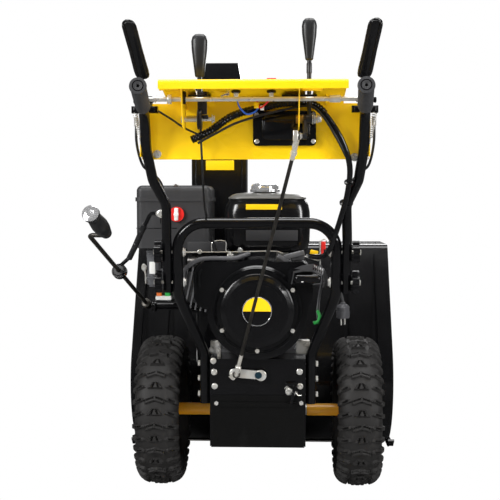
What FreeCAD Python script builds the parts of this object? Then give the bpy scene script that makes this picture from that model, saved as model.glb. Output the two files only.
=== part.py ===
import FreeCAD, Part
import math
import operator
import os
import Sketcher

# Walk-behind two-stage snow thrower, built as separate pieces.
# Millimetres. +Z is up, +Y is the way the machine drives, +X is the operator's right.
# The origin is on the ground under the middle of the machine, and the axle lies on Y = 0.

Vector = FreeCAD.Vector
doc = FreeCAD.newDocument("snow_thrower")

# ---------------------------------------------------------------- driving sizes
SIZES = {
    # clearances
    "running_fit": 0.05,          # radial gap of a shaft in its bearing
    "contact_gap": 0.3,           # gap between pieces that face each other across a joint
    "screw_gap": 0.25,            # radial gap round a fixed bolt
    # wheels and axle
    "tyre_diameter": 380,
    "tyre_width": 125,
    "tread_depth": 11,
    "tread_rows": 18,
    "rim_diameter": 158,
    "rim_sheet": 2.5,
    "track": 499,                 # between the middles of the tyres
    "hub_diameter": 31,
    "axle_diameter": 19,
    "axle_overhang": 66,          # axle end beyond the middle of the tyre
    "axle_tip": 17.5,             # turned-down end of the axle
    "axle_tip_diameter": 18,
    "hub_pin_diameter": 6,
    # traction frame
    "frame_width": 229,
    "frame_rear": 190,            # back plate behind the axle
    "frame_middle": 48,           # cross plate ahead of the axle
    "frame_top": 354,
    "frame_under": 47,            # floor of the frame below the axle
    "frame_sheet": 3,
    "bottom_cover_top": 267,
    "cover_sheet": 2,
    "bearing_flange": 26,         # radius of the axle bearing flange
    # transmission inside the frame
    "drive_disc_radius": 62,
    "drive_disc_rise": 60,        # above the axle
    "disc_thickness": 8,
    "friction_wheel_radius": 52,
    "friction_wheel_width": 14,
    "pinion_radius": 33,
    "drive_pulley_radius": 44,
    "drive_pulley_width": 11,
    "gear_width": 12,
    "inner_shaft_radius": 8,
    "shift_pin_radius": 6,
    "shift_stud_radius": 4,
    # auger housing
    "clearing_width": 744,        # outside of the side plates
    "housing_sheet": 2.5,
    "auger_y": 413,
    "auger_z": 208,
    "tub_radius": 198,            # inside
    "housing_top": 600,
    "housing_top_y": 390,
    "housing_front": 645.5,
    "cheek_drop": 190,            # front corner of the cheeks below the top
    "auger_radius": 178,
    "auger_pitch": 270,
    "ribbon_width": 46,
    "ribbon_thickness": 5,
    "auger_shaft_radius": 12.5,
    "worm_wheel_radius": 28,
    "worm_wheel_width": 16,
    "impeller_worm_radius": 12,
    "gearbox_wall": 5,
    "gearbox_length": 64,
    "gearbox_snout": 95,
    "gearbox_snout_radius": 22,
    "plate_bolt": 8,
    "shoe_thickness": 5,
    "shoe_length": 210,
    "shoe_height": 104,
    "shoe_foot": 18,
    "scraper_length": 690,
    "scraper_width": 66,
    "scraper_thickness": 4,
    # impeller
    "can_radius": 155,            # outside
    "can_rear": 107,              # back wall ahead of the axle
    "impeller_radius": 147,
    "impeller_depth": 88,
    "impeller_shaft_radius": 9.5,
    "auger_pulley_radius": 72,
    "pulley_width": 26,
    "pulley_y": 76,               # middle of the belt plane
    # engine
    "crank_z": 475,
    "crank_radius": 12,
    "engine_pulley_radius": 32,
    "fin_size": 104,
    "shroud_left": 150,           # upper block, from the crank to its left end
    "shroud_right": 130.2,
    "shroud_above": 113,          # from the crank to the top
    "shroud_radius": 119,         # lower part, round the crank
    "shroud_rear": 214,
    "shroud_depth": 118,
    "shroud_sheet": 2,
    "recoil_radius": 104.5,
    "recoil_step_radius": 82,
    "recoil_rear": 246,
    "flywheel_radius": 88,
    "crankcase_front": 40,
    # fuel tank and carburettor cover
    "tank_width": 208,
    "tank_length": 196,
    "tank_bottom": 606,
    "tank_top": 751,
    "tank_x": 23,
    "tank_y": -72,
    "tank_wall": 4,
    "cap_radius": 36,
    "cap_height": 22,
    "cover_width": 182,
    "cover_length": 150,
    "cover_bottom": 615,
    "cover_top": 768,
    "cover_x": -207,
    "cover_y": -60,
    "cover_wall": 3,
    "starter_radius": 17,
    "shroud_corner": 34,
    "belt_cover_width": 116,
    "choke_pin_radius": 4,
    "choke_drop": 70,             # choke knob below the cover's top
    "pull_x": 116,
    "pull_z": 552,
    "rope_radius": 2.5,
    "rope_length": 120,
    # handles
    "loop_tube": 25,              # outside diameter of the lower loop
    "loop_wall": 2,
    "loop_half_width": 181,
    "loop_top": 680,
    "handle_tube": 22,
    "grip_radius": 17,
    "grip_length": 135,
    "clamp_bolt": 8,
    "clamp_low": 544,
    "clamp_high": 614,
    "knob_radius": 27,
    "knob_width": 15,
    # control panel
    "panel_half_width": 239.3,
    "panel_bottom": 818,
    "lip_half_width": 186,
    "lever_pin": 4,
    "link_pin": 3,
    "linkage_play": 2.6,
    "bracket_width": 54,
    "paddle_width": 30,
    "paddle_rise": 125,           # paddle's top above the pivot
    "paddle_thickness": 13,
    "panel_top": 967,
    "panel_sheet": 2,
    "panel_front": 417,           # front wall behind the axle
    "panel_depth": 143,
    "lamp_width": 132,
    "lamp_height": 72,
    "lamp_depth": 58,
    # chute
    "chute_x": -113,
    "chute_y": 180,
    "chute_ring_radius": 92,
    "chute_ring_z": 446,
    "chute_width": 147,
    "chute_depth": 120,
    "chute_sheet": 2.5,
    "chute_top": 872,
    "outlet_radius": 68,
    "chute_throat": 57,           # radius of the hole in the channel's floor
    "chute_neck": 14,             # from the ring's underside to the channel's floor
    "deflector_top": 1104,
    "deflector_mouth": 100,
    "worm_radius": 8,
    "hinge_pin": 4,
    "crank_grip_length": 112,
    "crank_rod_radius": 5,
    # ground line
    "shoe_drop": 0.4,             # height of the shoes' soles above the ground
}


class Size:
    """A number together with the sheet formula that gives it, so that sums keep both."""

    def __init__(self, value, formula):
        self.value = float(value)
        self.formula = formula

    def __float__(self):
        return self.value

    def __neg__(self):
        return 0 - self

    def __add__(self, other):
        return combined(self, "+", other)

    def __radd__(self, other):
        return combined(other, "+", self)

    def __sub__(self, other):
        return combined(self, "-", other)

    def __rsub__(self, other):
        return combined(other, "-", self)

    def __mul__(self, other):
        return combined(self, "*", other)

    def __rmul__(self, other):
        return combined(other, "*", self)

    def __truediv__(self, other):
        return combined(self, "/", other)


OPERATORS = {"+": operator.add, "-": operator.sub, "*": operator.mul, "/": operator.truediv}


def as_size(value):
    return value if isinstance(value, Size) else Size(value, f"({float(value)!r})")


def combined(left, sign, right):
    left, right = as_size(left), as_size(right)
    value = OPERATORS[sign](left.value, right.value)
    return Size(value, f"({left.formula} {sign} {right.formula})")


def root(value):
    return Size(math.sqrt(value.value), f"sqrt({value.formula})")


class Sheet:
    """The spreadsheet of driving sizes, whose cells are read as attributes."""

    def __init__(self, values):
        self.cells = doc.addObject("Spreadsheet::Sheet", "Sizes")
        for row, (alias, value) in enumerate(values.items(), start=1):
            self.cells.set(f"A{row}", alias.replace("_", " "))
            self.cells.set(f"B{row}", str(value))
            self.cells.setAlias(f"B{row}", alias)
            setattr(self, alias, Size(value, f"Sizes.{alias}"))


s = Sheet(SIZES)
doc.recompute()

# ---------------------------------------------------------------- building blocks
# A cylinder's own axis is Z, and these turn it to the named axis.
TURNS = {
    "X": FreeCAD.Rotation(Vector(0, 1, 0), 90),
    "Y": FreeCAD.Rotation(Vector(1, 0, 0), -90),
    "Z": FreeCAD.Rotation(),
}
# A sketch plane's two directions and the way its pad grows, for each pad axis.
PLANES = {
    "X": FreeCAD.Rotation(Vector(0, 1, 0), Vector(0, 0, 1), Vector(1, 0, 0), "ZXY"),
    "Y": FreeCAD.Rotation(Vector(0, 0, 1), Vector(1, 0, 0), Vector(0, 1, 0), "ZXY"),
    "Z": FreeCAD.Rotation(),
}
# A lathe outline turns about its sketch's Y, and these lay that on the named axis.
SPINDLES = {
    "X": FreeCAD.Rotation(Vector(0, 0, 1), -90),
    "Y": FreeCAD.Rotation(),
    "Z": FreeCAD.Rotation(Vector(1, 0, 0), 90),
}
nodes = []


def turned(axis):
    """The rotation for a named axis, or the rotation itself where one is given."""
    return TURNS[axis] if isinstance(axis, str) else axis


def bind(item, name, value):
    """Give a property the formula of its size."""
    item.setExpression(name, as_size(value).formula)


def place(item, at, turn=None):
    """Put an item's own origin at a point whose coordinates follow the sheet."""
    if turn is not None:
        item.Placement = FreeCAD.Placement(Vector(), turn)
    for letter, value in zip("xyz", at):
        bind(item, f"Placement.Base.{letter}", value)
    return item


def box(name, size, centre, turn=None):
    """A block about its centre; a turn is a fixed rotation about that centre."""
    item = doc.addObject("Part::Box", name)
    for side, value in zip(("Length", "Width", "Height"), size):
        bind(item, side, value)
    turn = turn or FreeCAD.Rotation()
    columns = [turn.multVec(axis) for axis in (Vector(1, 0, 0), Vector(0, 1, 0), Vector(0, 0, 1))]
    corner = []
    for index, middle in enumerate(centre):
        for column, value in zip(columns, size):
            part = round(column[index], 6)
            if part:
                middle = middle - value * (part / 2)
        corner.append(middle)
    return place(item, corner, turn)


def rod(name, radius, length, start, axis):
    """A round bar that grows along an axis from the middle of its first end."""
    item = doc.addObject("Part::Cylinder", name)
    bind(item, "Radius", radius)
    bind(item, "Height", length)
    return place(item, start, turned(axis))


def cone(name, first_radius, last_radius, length, start, axis):
    item = doc.addObject("Part::Cone", name)
    bind(item, "Radius1", first_radius)
    bind(item, "Radius2", last_radius)
    bind(item, "Height", length)
    return place(item, start, turned(axis))


def ball(name, radius, centre):
    item = doc.addObject("Part::Sphere", name)
    bind(item, "Radius", radius)
    return place(item, centre)


def join(name, pieces):
    item = doc.addObject("Part::MultiFuse", name)
    item.Shapes = pieces
    return item


def cut(name, piece, *tools):
    item = doc.addObject("Part::Cut", name)
    item.Base = piece
    item.Tool = tools[0] if len(tools) == 1 else join(f"{name}_tools", list(tools))
    return item


def common(name, piece, tool):
    item = doc.addObject("Part::Common", name)
    item.Base = piece
    item.Tool = tool
    return item


def ring(name, outer, inner, length, start, axis):
    """A tube whose bore runs past both of its ends, so that the cut is clean."""
    offset = {"X": (-1, 0, 0), "Y": (0, -1, 0), "Z": (0, 0, -1)}[axis]
    bore = rod(f"{name}_bore", inner, length + 2, [a + b for a, b in zip(start, offset)], axis)
    return cut(name, rod(f"{name}_solid", outer, length, start, axis), bore)


def group(name, pieces):
    """Separate solids that share one node."""
    item = doc.addObject("Part::Compound", name)
    item.Links = pieces
    return item


def mirrored(name, piece):
    """The same piece on the other side of the machine."""
    item = doc.addObject("Part::Mirroring", name)
    item.Source = piece
    item.Normal = Vector(1, 0, 0)
    return item


def pair(name, piece):
    return group(name, [piece, mirrored(f"{name}_other", piece)])


def polygon(body, name, outline):
    """A closed sketch on the body's XY plane whose corners follow the sheet."""
    sketch = body.newObject("Sketcher::SketchObject", name)
    plane = next(item for item in body.Origin.OriginFeatures if item.Role == "XY_Plane")
    sketch.AttachmentSupport = (plane, "")
    sketch.MapMode = "FlatFace"
    corners = [Vector(float(x), float(y), 0) for x, y in outline]
    for first, last in zip(corners, corners[1:] + corners[:1]):
        sketch.addGeometry(Part.LineSegment(first, last))
    count = len(corners)
    for index in range(count):
        sketch.addConstraint(Sketcher.Constraint("Coincident", index, 2, (index + 1) % count, 1))
    for index, point in enumerate(outline):
        for kind, across, value in zip(("DistanceX", "DistanceY"), (-2, -1), point):
            if abs(float(value)) < 1e-9:
                sketch.addConstraint(Sketcher.Constraint("PointOnObject", index, 1, across))
                continue
            number = sketch.addConstraint(Sketcher.Constraint(kind, -1, 1, index, 1, float(value)))
            sketch.setExpression(f"Constraints[{number}]", as_size(value).formula)
    return sketch


def plate(name, outline, thickness, start, axis, holes=()):
    """A flat piece padded from an outline; holes are more outlines that are cut through it."""
    body = doc.addObject("PartDesign::Body", name)
    pad = body.newObject("PartDesign::Pad", f"{name}_pad")
    pad.Profile = polygon(body, f"{name}_outline", outline)
    bind(pad, "Length", thickness)
    for index, hole in enumerate(holes):
        pocket = body.newObject("PartDesign::Pocket", f"{name}_pocket_{index}")
        pocket.Profile = polygon(body, f"{name}_hole_{index}", hole)
        pocket.Type = 1
        pocket.Midplane = True
    return place(body, start, PLANES[axis])


def lathe(name, outline, start, axis):
    """A turned piece: an outline of radius and distance along the axis, spun once round."""
    body = doc.addObject("PartDesign::Body", name)
    spun = body.newObject("PartDesign::Revolution", f"{name}_turn")
    sketch = polygon(body, f"{name}_outline", outline)
    spun.Profile = sketch
    spun.ReferenceAxis = (sketch, ["V_Axis"])
    spun.Angle = 360
    return place(body, start, SPINDLES[axis])


def shaped(name, shape):
    """A piece whose bends or twist are made by Part's own functions."""
    item = doc.addObject("Part::Feature", name)
    item.Shape = shape
    return item


def bent_wire(points, radius):
    """Straight runs joined by tangent arcs, each no larger than its two runs allow."""
    points = [Vector(*map(float, point)) for point in points]
    edges = []
    start = points[0]
    for before, corner, after in zip(points, points[1:], points[2:]):
        back = (before - corner).normalize()
        ahead = (after - corner).normalize()
        half = back.getAngle(ahead) / 2
        room = 0.45 * min((before - corner).Length, (after - corner).Length)
        reach = min(float(radius) / math.tan(half), room)
        bend = reach * math.tan(half)
        first = corner + back * reach
        last = corner + ahead * reach
        inward = (back + ahead).normalize()
        middle = corner + inward * (bend / math.sin(half) - bend)
        edges.append(Part.LineSegment(start, first).toShape())
        edges.append(Part.Arc(first, middle, last).toShape())
        start = last
    edges.append(Part.LineSegment(start, points[-1]).toShape())
    return Part.Wire(edges)


def tube(name, points, radius, bend, wall=None):
    """A round bar or tube carried along a bent wire."""
    path = bent_wire(points, bend)
    first = Vector(*map(float, points[0]))
    along = Vector(*map(float, points[1])) - first
    solids = []
    for size in [radius] if wall is None else [radius, radius - wall]:
        circle = Part.Wire(Part.makeCircle(float(size), first, along))
        solids.append(path.makePipeShell([circle], True, True))
    return shaped(name, solids[0] if wall is None else solids[0].cut(solids[1]))


def bent_sheet(name, points, radius, thickness, start, length, axis):
    """Sheet bent along a flat route and carried sideways; its thickness lies left of the route."""
    flat = bent_wire([(x, y, 0) for x, y in points], radius)
    face = flat.makeOffset2D(float(thickness), fill=True, openResult=True)
    solid = face.extrude(Vector(0, 0, float(length)))
    solid.Placement = FreeCAD.Placement(Vector(*map(float, start)), PLANES[axis])
    return shaped(name, solid)


def rounded(name, piece, radius, wanted):
    """Round the edges of a piece for which wanted(edge) is true."""
    doc.recompute()
    item = doc.addObject("Part::Fillet", name)
    item.Base = piece
    edges = [index for index, edge in enumerate(piece.Shape.Edges, 1) if wanted(edge)]
    item.Edges = [(index, float(radius), float(radius)) for index in edges]
    return item


def along(axis):
    """A test for straight edges that run along one axis."""
    def test(edge):
        if not isinstance(edge.Curve, Part.Line):
            return False
        way = edge.tangentAt(edge.FirstParameter)
        return abs(way.dot(axis)) > 0.999
    return test


UPRIGHT = along(Vector(0, 0, 1))
ACROSS = along(Vector(1, 0, 0))
FORWARD = along(Vector(0, 1, 0))


def node(label, item):
    """Name a finished piece; it is written to a file of that name."""
    item.Label = label
    nodes.append(item)
    return item


def bolt(name, radius, length, start, axis, head=None):
    """A hexagon head at the start with its shank along the axis; a negative length turns it round."""
    turn = TURNS[axis]
    sign = 1 if float(length) > 0 else -1
    if sign < 0:
        turn = turn.multiply(FreeCAD.Rotation(Vector(1, 0, 0), 180))
    size = head or radius * 1.7
    prism = doc.addObject("Part::Prism", f"{name}_head")
    prism.Polygon = 6
    bind(prism, "Circumradius", size)
    bind(prism, "Height", radius * 1.2)
    step = {"X": Vector(1, 0, 0), "Y": Vector(0, 1, 0), "Z": Vector(0, 0, 1)}[axis] * sign
    place(prism, [a - radius * (1.2 * b) if b else a for a, b in zip(start, step)], turn)
    shank = rod(f"{name}_shank", radius, length * sign, start, turn)
    return join(name, [prism, shank])

# ---------------------------------------------------------------- places shared by many pieces
axle_z = s.tyre_diameter / 2
frame_bottom = axle_z - s.frame_under
wheel_x = s.track / 2
axle_end = wheel_x + s.axle_overhang
frame_x = s.frame_width / 2
rear_y = -s.frame_rear
can_y = s.can_rear
crank_axis = (0, 0, s.crank_z)
auger_axis = (0, s.auger_y, s.auger_z)
pulley_back = s.pulley_y - s.pulley_width / 2
drive_pulley_y = s.frame_middle + 2.5
drive_shaft_front = s.pulley_y + s.pulley_width / 2 + 2


# ---------------------------------------------------------------- wheels and axle
def tyre():
    """A snow tyre: rounded carcass with bar lugs cut by slanted grooves."""
    outer = s.tyre_diameter / 2
    floor = outer - s.tread_depth
    bead = s.rim_diameter / 2 + s.contact_gap
    half = s.tyre_width / 2
    outline = [
        (bead, -half + 22), (bead + 10, -half + 22), (bead + 14, -half + 8), (bead + 40, -half),
        (floor - 26, -half), (floor - 6, -half + 4), (outer - 4, -half + 7), (outer, -half + 18),
        (outer, half - 18), (outer - 4, half - 7), (floor - 6, half - 4), (floor - 26, half),
        (bead + 40, half), (bead + 14, half - 8), (bead + 10, half - 22), (bead, half - 22),
        (bead, half - 32), (bead + 14, half - 27), (floor - 18, half - 16), (floor - 12, half - 30),
        (floor - 12, -half + 30), (floor - 18, -half + 16), (bead + 14, -half + 27), (bead, -half + 32),
    ]
    body = lathe("tyre_blank", outline, (0, 0, 0), "X")
    doc.recompute()
    radius, width, depth = float(outer), float(s.tyre_width), float(s.tread_depth)
    rows = round(float(s.tread_rows))
    grooves = []
    for index in range(rows):
        for side in (-1, 1):
            slot = Part.makeBox(width / 2, 11, depth * 2, Vector(6 if side > 0 else -width / 2 - 6, -5.5, 0))
            slot.rotate(Vector(0, 0, 0), Vector(0, 0, 1), 24 * side)
            slot.translate(Vector(0, 0, radius - depth))
            turn = 360 / rows * (index + (0.5 if side > 0 else 0))
            slot.rotate(Vector(0, 0, 0), Vector(1, 0, 0), turn)
            grooves.append(slot)
    return cut("tyre_cut", body, shaped("tyre_grooves", Part.makeCompound(grooves)))


def wheel_rim():
    """A pressed rim, its disc and the long hub tube that reaches in to the frame."""
    bead = s.rim_diameter / 2
    half = s.tyre_width / 2
    well = bead - 14
    sheet = s.rim_sheet
    outline = [
        (bead + 9, -half + 21 - sheet), (bead + 9, -half + 21), (bead, -half + 21), (bead, -half + 38),
        (well, -half + 46), (well, half - 46), (bead, half - 38), (bead, half - 21),
        (bead + 9, half - 21), (bead + 9, half - 21 + sheet), (bead - sheet, half - 21 + sheet),
        (bead - sheet, half - 39), (well - sheet, half - 47), (well - sheet, sheet),
        (s.hub_diameter / 2, sheet),
        (s.hub_diameter / 2, s.axle_overhang - 18), (s.axle_diameter / 2 + s.running_fit, s.axle_overhang - 18),
        (s.axle_diameter / 2 + s.running_fit, -wheel_x + frame_x + 8), (s.hub_diameter / 2, -wheel_x + frame_x + 8),
        (s.hub_diameter / 2, 0), (well - sheet, 0), (well - sheet, -half + 47),
        (bead - sheet, -half + 39), (bead - sheet, -half + 21 - sheet),
    ]
    return lathe("rim_turned", outline, (wheel_x, 0, axle_z), "X")


def placed_tyre():
    item = tyre()
    place(item, (wheel_x, 0, axle_z))
    return item


pin_hole_x = wheel_x + s.axle_overhang - 30
pin_drill = rod("hub_pin_drill", s.hub_pin_diameter / 2 + s.screw_gap, 60, (pin_hole_x, 0, axle_z - 30), "Z")
node("tyres", pair("tyre_pair", placed_tyre()))
node("rims", pair("rim_pair", cut("rim_drilled", wheel_rim(), pin_drill)))

axle_shoulder = axle_end - s.axle_tip
axle_bar = join("axle_turned", [
    rod("axle_bar", s.axle_diameter / 2, axle_shoulder * 2, (-axle_shoulder, 0, axle_z), "X"),
    rod("axle_tips", s.axle_tip_diameter / 2, axle_end * 2, (-axle_end, 0, axle_z), "X")])
axle = cut("axle_drilled", axle_bar, pin_drill, mirrored("hub_pin_drill_other", pin_drill))
hub_pin = join("hub_pin_whole", [
    rod("hub_pin_shank", s.hub_pin_diameter / 2, s.hub_diameter + 12,
        (pin_hole_x, 0, axle_z - s.hub_diameter / 2 - 6), "Z"),
    rod("hub_pin_top", s.hub_pin_diameter, 3, (pin_hole_x, 0, axle_z + s.hub_diameter / 2 + 4), "Z"),
])
node("wheel_axle", group("wheel_axle_set", [axle, pair("hub_pin_pair", hub_pin)]))

disc_y = s.frame_middle - 20
disc_face = disc_y - s.disc_thickness
disc_z = axle_z + s.drive_disc_rise
hex_y = disc_face - s.contact_gap - s.friction_wheel_radius
gear_spread = root(hex_y * hex_y + (disc_z - axle_z) * (disc_z - axle_z))
gear_x = 70
node("axle_gear", ring("axle_gear_blank", gear_spread - s.pinion_radius - s.contact_gap,
                       s.axle_diameter / 2 + s.running_fit, s.gear_width, (gear_x, 0, axle_z), "X"))


def axle_bearing():
    """A flanged bush in the frame's side plate."""
    bore = s.axle_diameter / 2 + s.running_fit
    flange = s.bearing_flange
    neck = s.axle_diameter / 2 + 5
    outline = [(bore, -6), (neck, -6), (neck, s.frame_sheet), (flange, s.frame_sheet),
               (flange, s.frame_sheet + 3), (neck, s.frame_sheet + 3), (neck, s.frame_sheet + 7),
               (bore, s.frame_sheet + 7)]
    return lathe("axle_bearing_turned", outline, (frame_x - s.frame_sheet, 0, axle_z), "X")


# ---------------------------------------------------------------- transmission inside the frame
def belt_pulley(name, radius, width, start_y, z, bore=None):
    """A wheel with one groove between two rims."""
    outline = [(bore or 0, 0), (radius, 0), (radius, 2), (radius - 9, width / 2 - 3),
               (radius - 9, width / 2 + 3), (radius, width - 2), (radius, width), (bore or 0, width)]
    return lathe(name, outline, (0, start_y, z), "Y")


node("drive_disc", join("drive_disc_whole", [
    rod("drive_disc_plate", s.drive_disc_radius, s.disc_thickness, (0, disc_face, disc_z), "Y"),
    rod("drive_disc_shaft", s.inner_shaft_radius, drive_pulley_y + s.drive_pulley_width - disc_y,
        (0, disc_y, disc_z), "Y"),
    belt_pulley("drive_disc_pulley", s.drive_pulley_radius, s.drive_pulley_width, drive_pulley_y, disc_z),
]))
hex_shaft = rod("hex_shaft_bar", s.inner_shaft_radius, s.frame_width - 2 * s.frame_sheet - 2,
                (-frame_x + s.frame_sheet + 1, hex_y, disc_z), "X")
node("pinion_shaft", join("pinion_shaft_whole", [
    hex_shaft, rod("pinion_teeth", s.pinion_radius, s.gear_width, (gear_x, hex_y, disc_z), "X")]))
wheel_start = -32
node("friction_wheel", ring("friction_wheel_tread", s.friction_wheel_radius,
                            s.inner_shaft_radius + s.running_fit, s.friction_wheel_width,
                            (wheel_start, hex_y, disc_z), "X"))


# ---------------------------------------------------------------- traction frame
def traction_frame():
    """The folded steel frame: deck, sides, back plate and the cross plate behind the belts."""
    sheet = s.frame_sheet
    length = s.frame_rear + can_y
    middle_y = (can_y - s.frame_rear) / 2
    height = s.frame_top - frame_bottom
    middle_z = (s.frame_top + frame_bottom) / 2
    outer = box("frame_block", (s.frame_width, length, height), (0, middle_y, middle_z))
    inside = s.frame_width - 2 * sheet
    back_room = s.frame_rear + s.frame_middle - 2 * sheet
    rear_hollow = box("frame_rear_hollow", (inside, back_room, height),
                      (0, rear_y + sheet + back_room / 2, middle_z - sheet))
    front_room = can_y - s.frame_middle + 1
    front_hollow = box("frame_front_hollow", (inside, front_room, height),
                       (0, s.frame_middle + front_room / 2, middle_z - sheet))
    rear_door = box("frame_rear_door", (inside, 3 * sheet, s.bottom_cover_top - frame_bottom - 8),
                    (0, rear_y, (s.bottom_cover_top + frame_bottom - 8) / 2))
    belt_slot = box("frame_belt_slot", (s.belt_cover_width - 4, can_y - s.frame_middle + 1, 4 * sheet),
                    (0, (can_y + s.frame_middle + 1) / 2, s.frame_top))
    neck = s.axle_diameter / 2 + 5 + s.screw_gap
    axle_hole = rod("frame_axle_hole", neck, s.frame_width + 10, (-frame_x - 5, 0, axle_z), "X")
    shaft_hole = rod("frame_disc_hole", s.inner_shaft_radius + s.running_fit, 3 * sheet,
                     (0, s.frame_middle - 2 * sheet, disc_z), "Y")
    shift_hole = rod("frame_shift_hole", s.shift_pin_radius + s.running_fit, 3 * sheet,
                     (0, rear_y - sheet, shift_z), "Y")
    return cut("frame_folded", outer, rear_hollow, front_hollow, rear_door, belt_slot,
               axle_hole, shaft_hole, shift_hole, *leg_drills)


def bottom_cover():
    """A pressed pan that closes the frame below and behind."""
    sheet = s.cover_sheet
    width = s.frame_width - 6
    floor_length = s.frame_rear + s.frame_middle
    floor = box("cover_floor", (width, floor_length + sheet, sheet),
                (0, rear_y + floor_length / 2 - sheet / 2, frame_bottom - sheet / 2))
    back_height = s.bottom_cover_top - frame_bottom + sheet
    back = box("cover_back", (width, sheet, back_height),
               (0, rear_y - sheet / 2, frame_bottom - sheet + back_height / 2))
    bead = box("cover_bead", (width - 40, sheet + 3, 12),
               (0, rear_y - sheet / 2 - 1.5, s.bottom_cover_top - 22))
    return join("bottom_cover_pressed", [floor, back, bead])


leg_y = rear_y + 20
frame_bolt_z = [s.frame_top - 14, s.frame_top - 50, s.frame_top - 88]
leg_drills = [rod(f"leg_drill_{index}", s.plate_bolt / 2 + s.screw_gap, s.frame_width + 80,
                  (-frame_x - 40, leg_y, z), "X") for index, z in enumerate(frame_bolt_z)]
shift_z = s.frame_top - 35
shift_pin_y = rear_y - 9
shift_end_x = -50
shift_end_z = shift_z + 1
node("traction_housing", traction_frame())
node("bottom_cover", bottom_cover())
arm_turn = FreeCAD.Rotation(Vector(0, 1, 0), math.degrees(math.atan2(1, 50)))
node("shift_arm", join("shift_arm_whole", [
    rod("shift_arm_pin", s.shift_pin_radius, 48, (0, shift_pin_y, shift_z), "Y"),
    box("shift_arm_plate", (66, 4, 17), (shift_end_x / 2, shift_pin_y, shift_z + 0.5), arm_turn),
    rod("shift_arm_stud", s.shift_stud_radius, 16, (shift_end_x, shift_pin_y - 15, shift_end_z), "Y"),
]))

# ---------------------------------------------------------------- auger housing
side_x = s.clearing_width / 2
inner_x = side_x - s.housing_sheet


def housing_route():
    """The back sheet from its bottom lip, round the tub, up the slope and out along the top."""
    centre = Vector(float(s.auger_y), float(s.auger_z), 0)
    radius = float(s.tub_radius)
    top = Vector(float(s.housing_top_y), float(s.housing_top - s.housing_sheet), 0)
    lip = Vector(centre.x + 38, centre.y - radius, 0)
    rise = top - centre
    tangent = math.atan2(rise.y, rise.x) + math.acos(radius / rise.Length)
    low = math.radians(270)

    def on_tub(angle):
        return centre + Vector(math.cos(angle), math.sin(angle), 0) * radius

    bend = 16
    slope = (on_tub(tangent) - top).normalize()
    front = Vector(1, 0, 0)
    half = slope.getAngle(front) / 2
    reach = bend / math.tan(half)
    inward = (slope + front).normalize()
    bend_middle = top + inward * (bend / math.sin(half) - bend)
    top_lip = Vector(float(s.housing_front) - 42, top.y, 0)
    return [
        Part.LineSegment(lip, on_tub(low)).toShape(),
        Part.Arc(on_tub(low), on_tub((low + tangent) / 2), on_tub(tangent)).toShape(),
        Part.LineSegment(on_tub(tangent), top + slope * reach).toShape(),
        Part.Arc(top + slope * reach, bend_middle, top + front * reach).toShape(),
        Part.LineSegment(top + front * reach, top_lip).toShape(),
    ]


def closed_profile(route, corners):
    """Close the route with straight edges through the front corners."""
    start = route[0].Vertexes[0].Point
    end = route[-1].Vertexes[-1].Point
    points = [end] + [Vector(float(y), float(z), 0) for y, z in corners] + [start]
    edges = [Part.LineSegment(a, b).toShape() for a, b in zip(points, points[1:])]
    return Part.Wire(route + edges)


def laid_across(face, first_x, width):
    """Carry a face drawn in Y and Z sideways across the machine."""
    solid = face.extrude(Vector(0, 0, float(width)))
    solid.Placement = FreeCAD.Placement(Vector(float(first_x), 0, 0), PLANES["X"])
    return solid


route = housing_route()
front_y = float(s.housing_front)
side_corners = [(front_y + 2, float(s.housing_top - s.cheek_drop)), (front_y - 12, 108), (front_y - 90, 12.5)]
sheet_face = Part.Wire(route).makeOffset2D(-float(s.housing_sheet), fill=True, openResult=True)
side_face = Part.Face(closed_profile(route, side_corners).makeOffset2D(float(s.housing_sheet)))
hollow_face = Part.Face(closed_profile(route, [(front_y + 60, float(s.housing_top - s.housing_sheet)),
                                               (front_y + 60, float(s.auger_z - s.tub_radius))]))
hollow = laid_across(hollow_face, -inner_x, inner_x * 2)
back_sheet = laid_across(sheet_face, -inner_x, inner_x * 2)
side_sheet = laid_across(side_face, inner_x, s.housing_sheet)

impeller_z = s.auger_z + s.worm_wheel_radius + s.impeller_worm_radius + s.contact_gap
auger_bore = rod("auger_bearing_hole", s.auger_shaft_radius + 4, 40, (inner_x - 20, s.auger_y, s.auger_z), "X")
shoe_bolt_z = s.shoe_drop + 64
shoe_bolt_y = [s.auger_y - 22, s.auger_y + 62]
shoe_drills = [rod(f"shoe_drill_{index}", s.plate_bolt / 2 + s.screw_gap, 40, (inner_x - 20, y, shoe_bolt_z), "X")
               for index, y in enumerate(shoe_bolt_y)]
side_plate = cut("side_plate_cut", shaped("side_plate", side_sheet), auger_bore, *shoe_drills)
mouth = rod("impeller_mouth", s.can_radius - s.housing_sheet, 300, (0, can_y, impeller_z), "Y")
back_plate = cut("back_sheet_cut", shaped("back_sheet", back_sheet), mouth)
node("auger_housing", join("auger_housing_welded", [
    back_plate, side_plate, mirrored("side_plate_other", side_plate)]))


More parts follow.
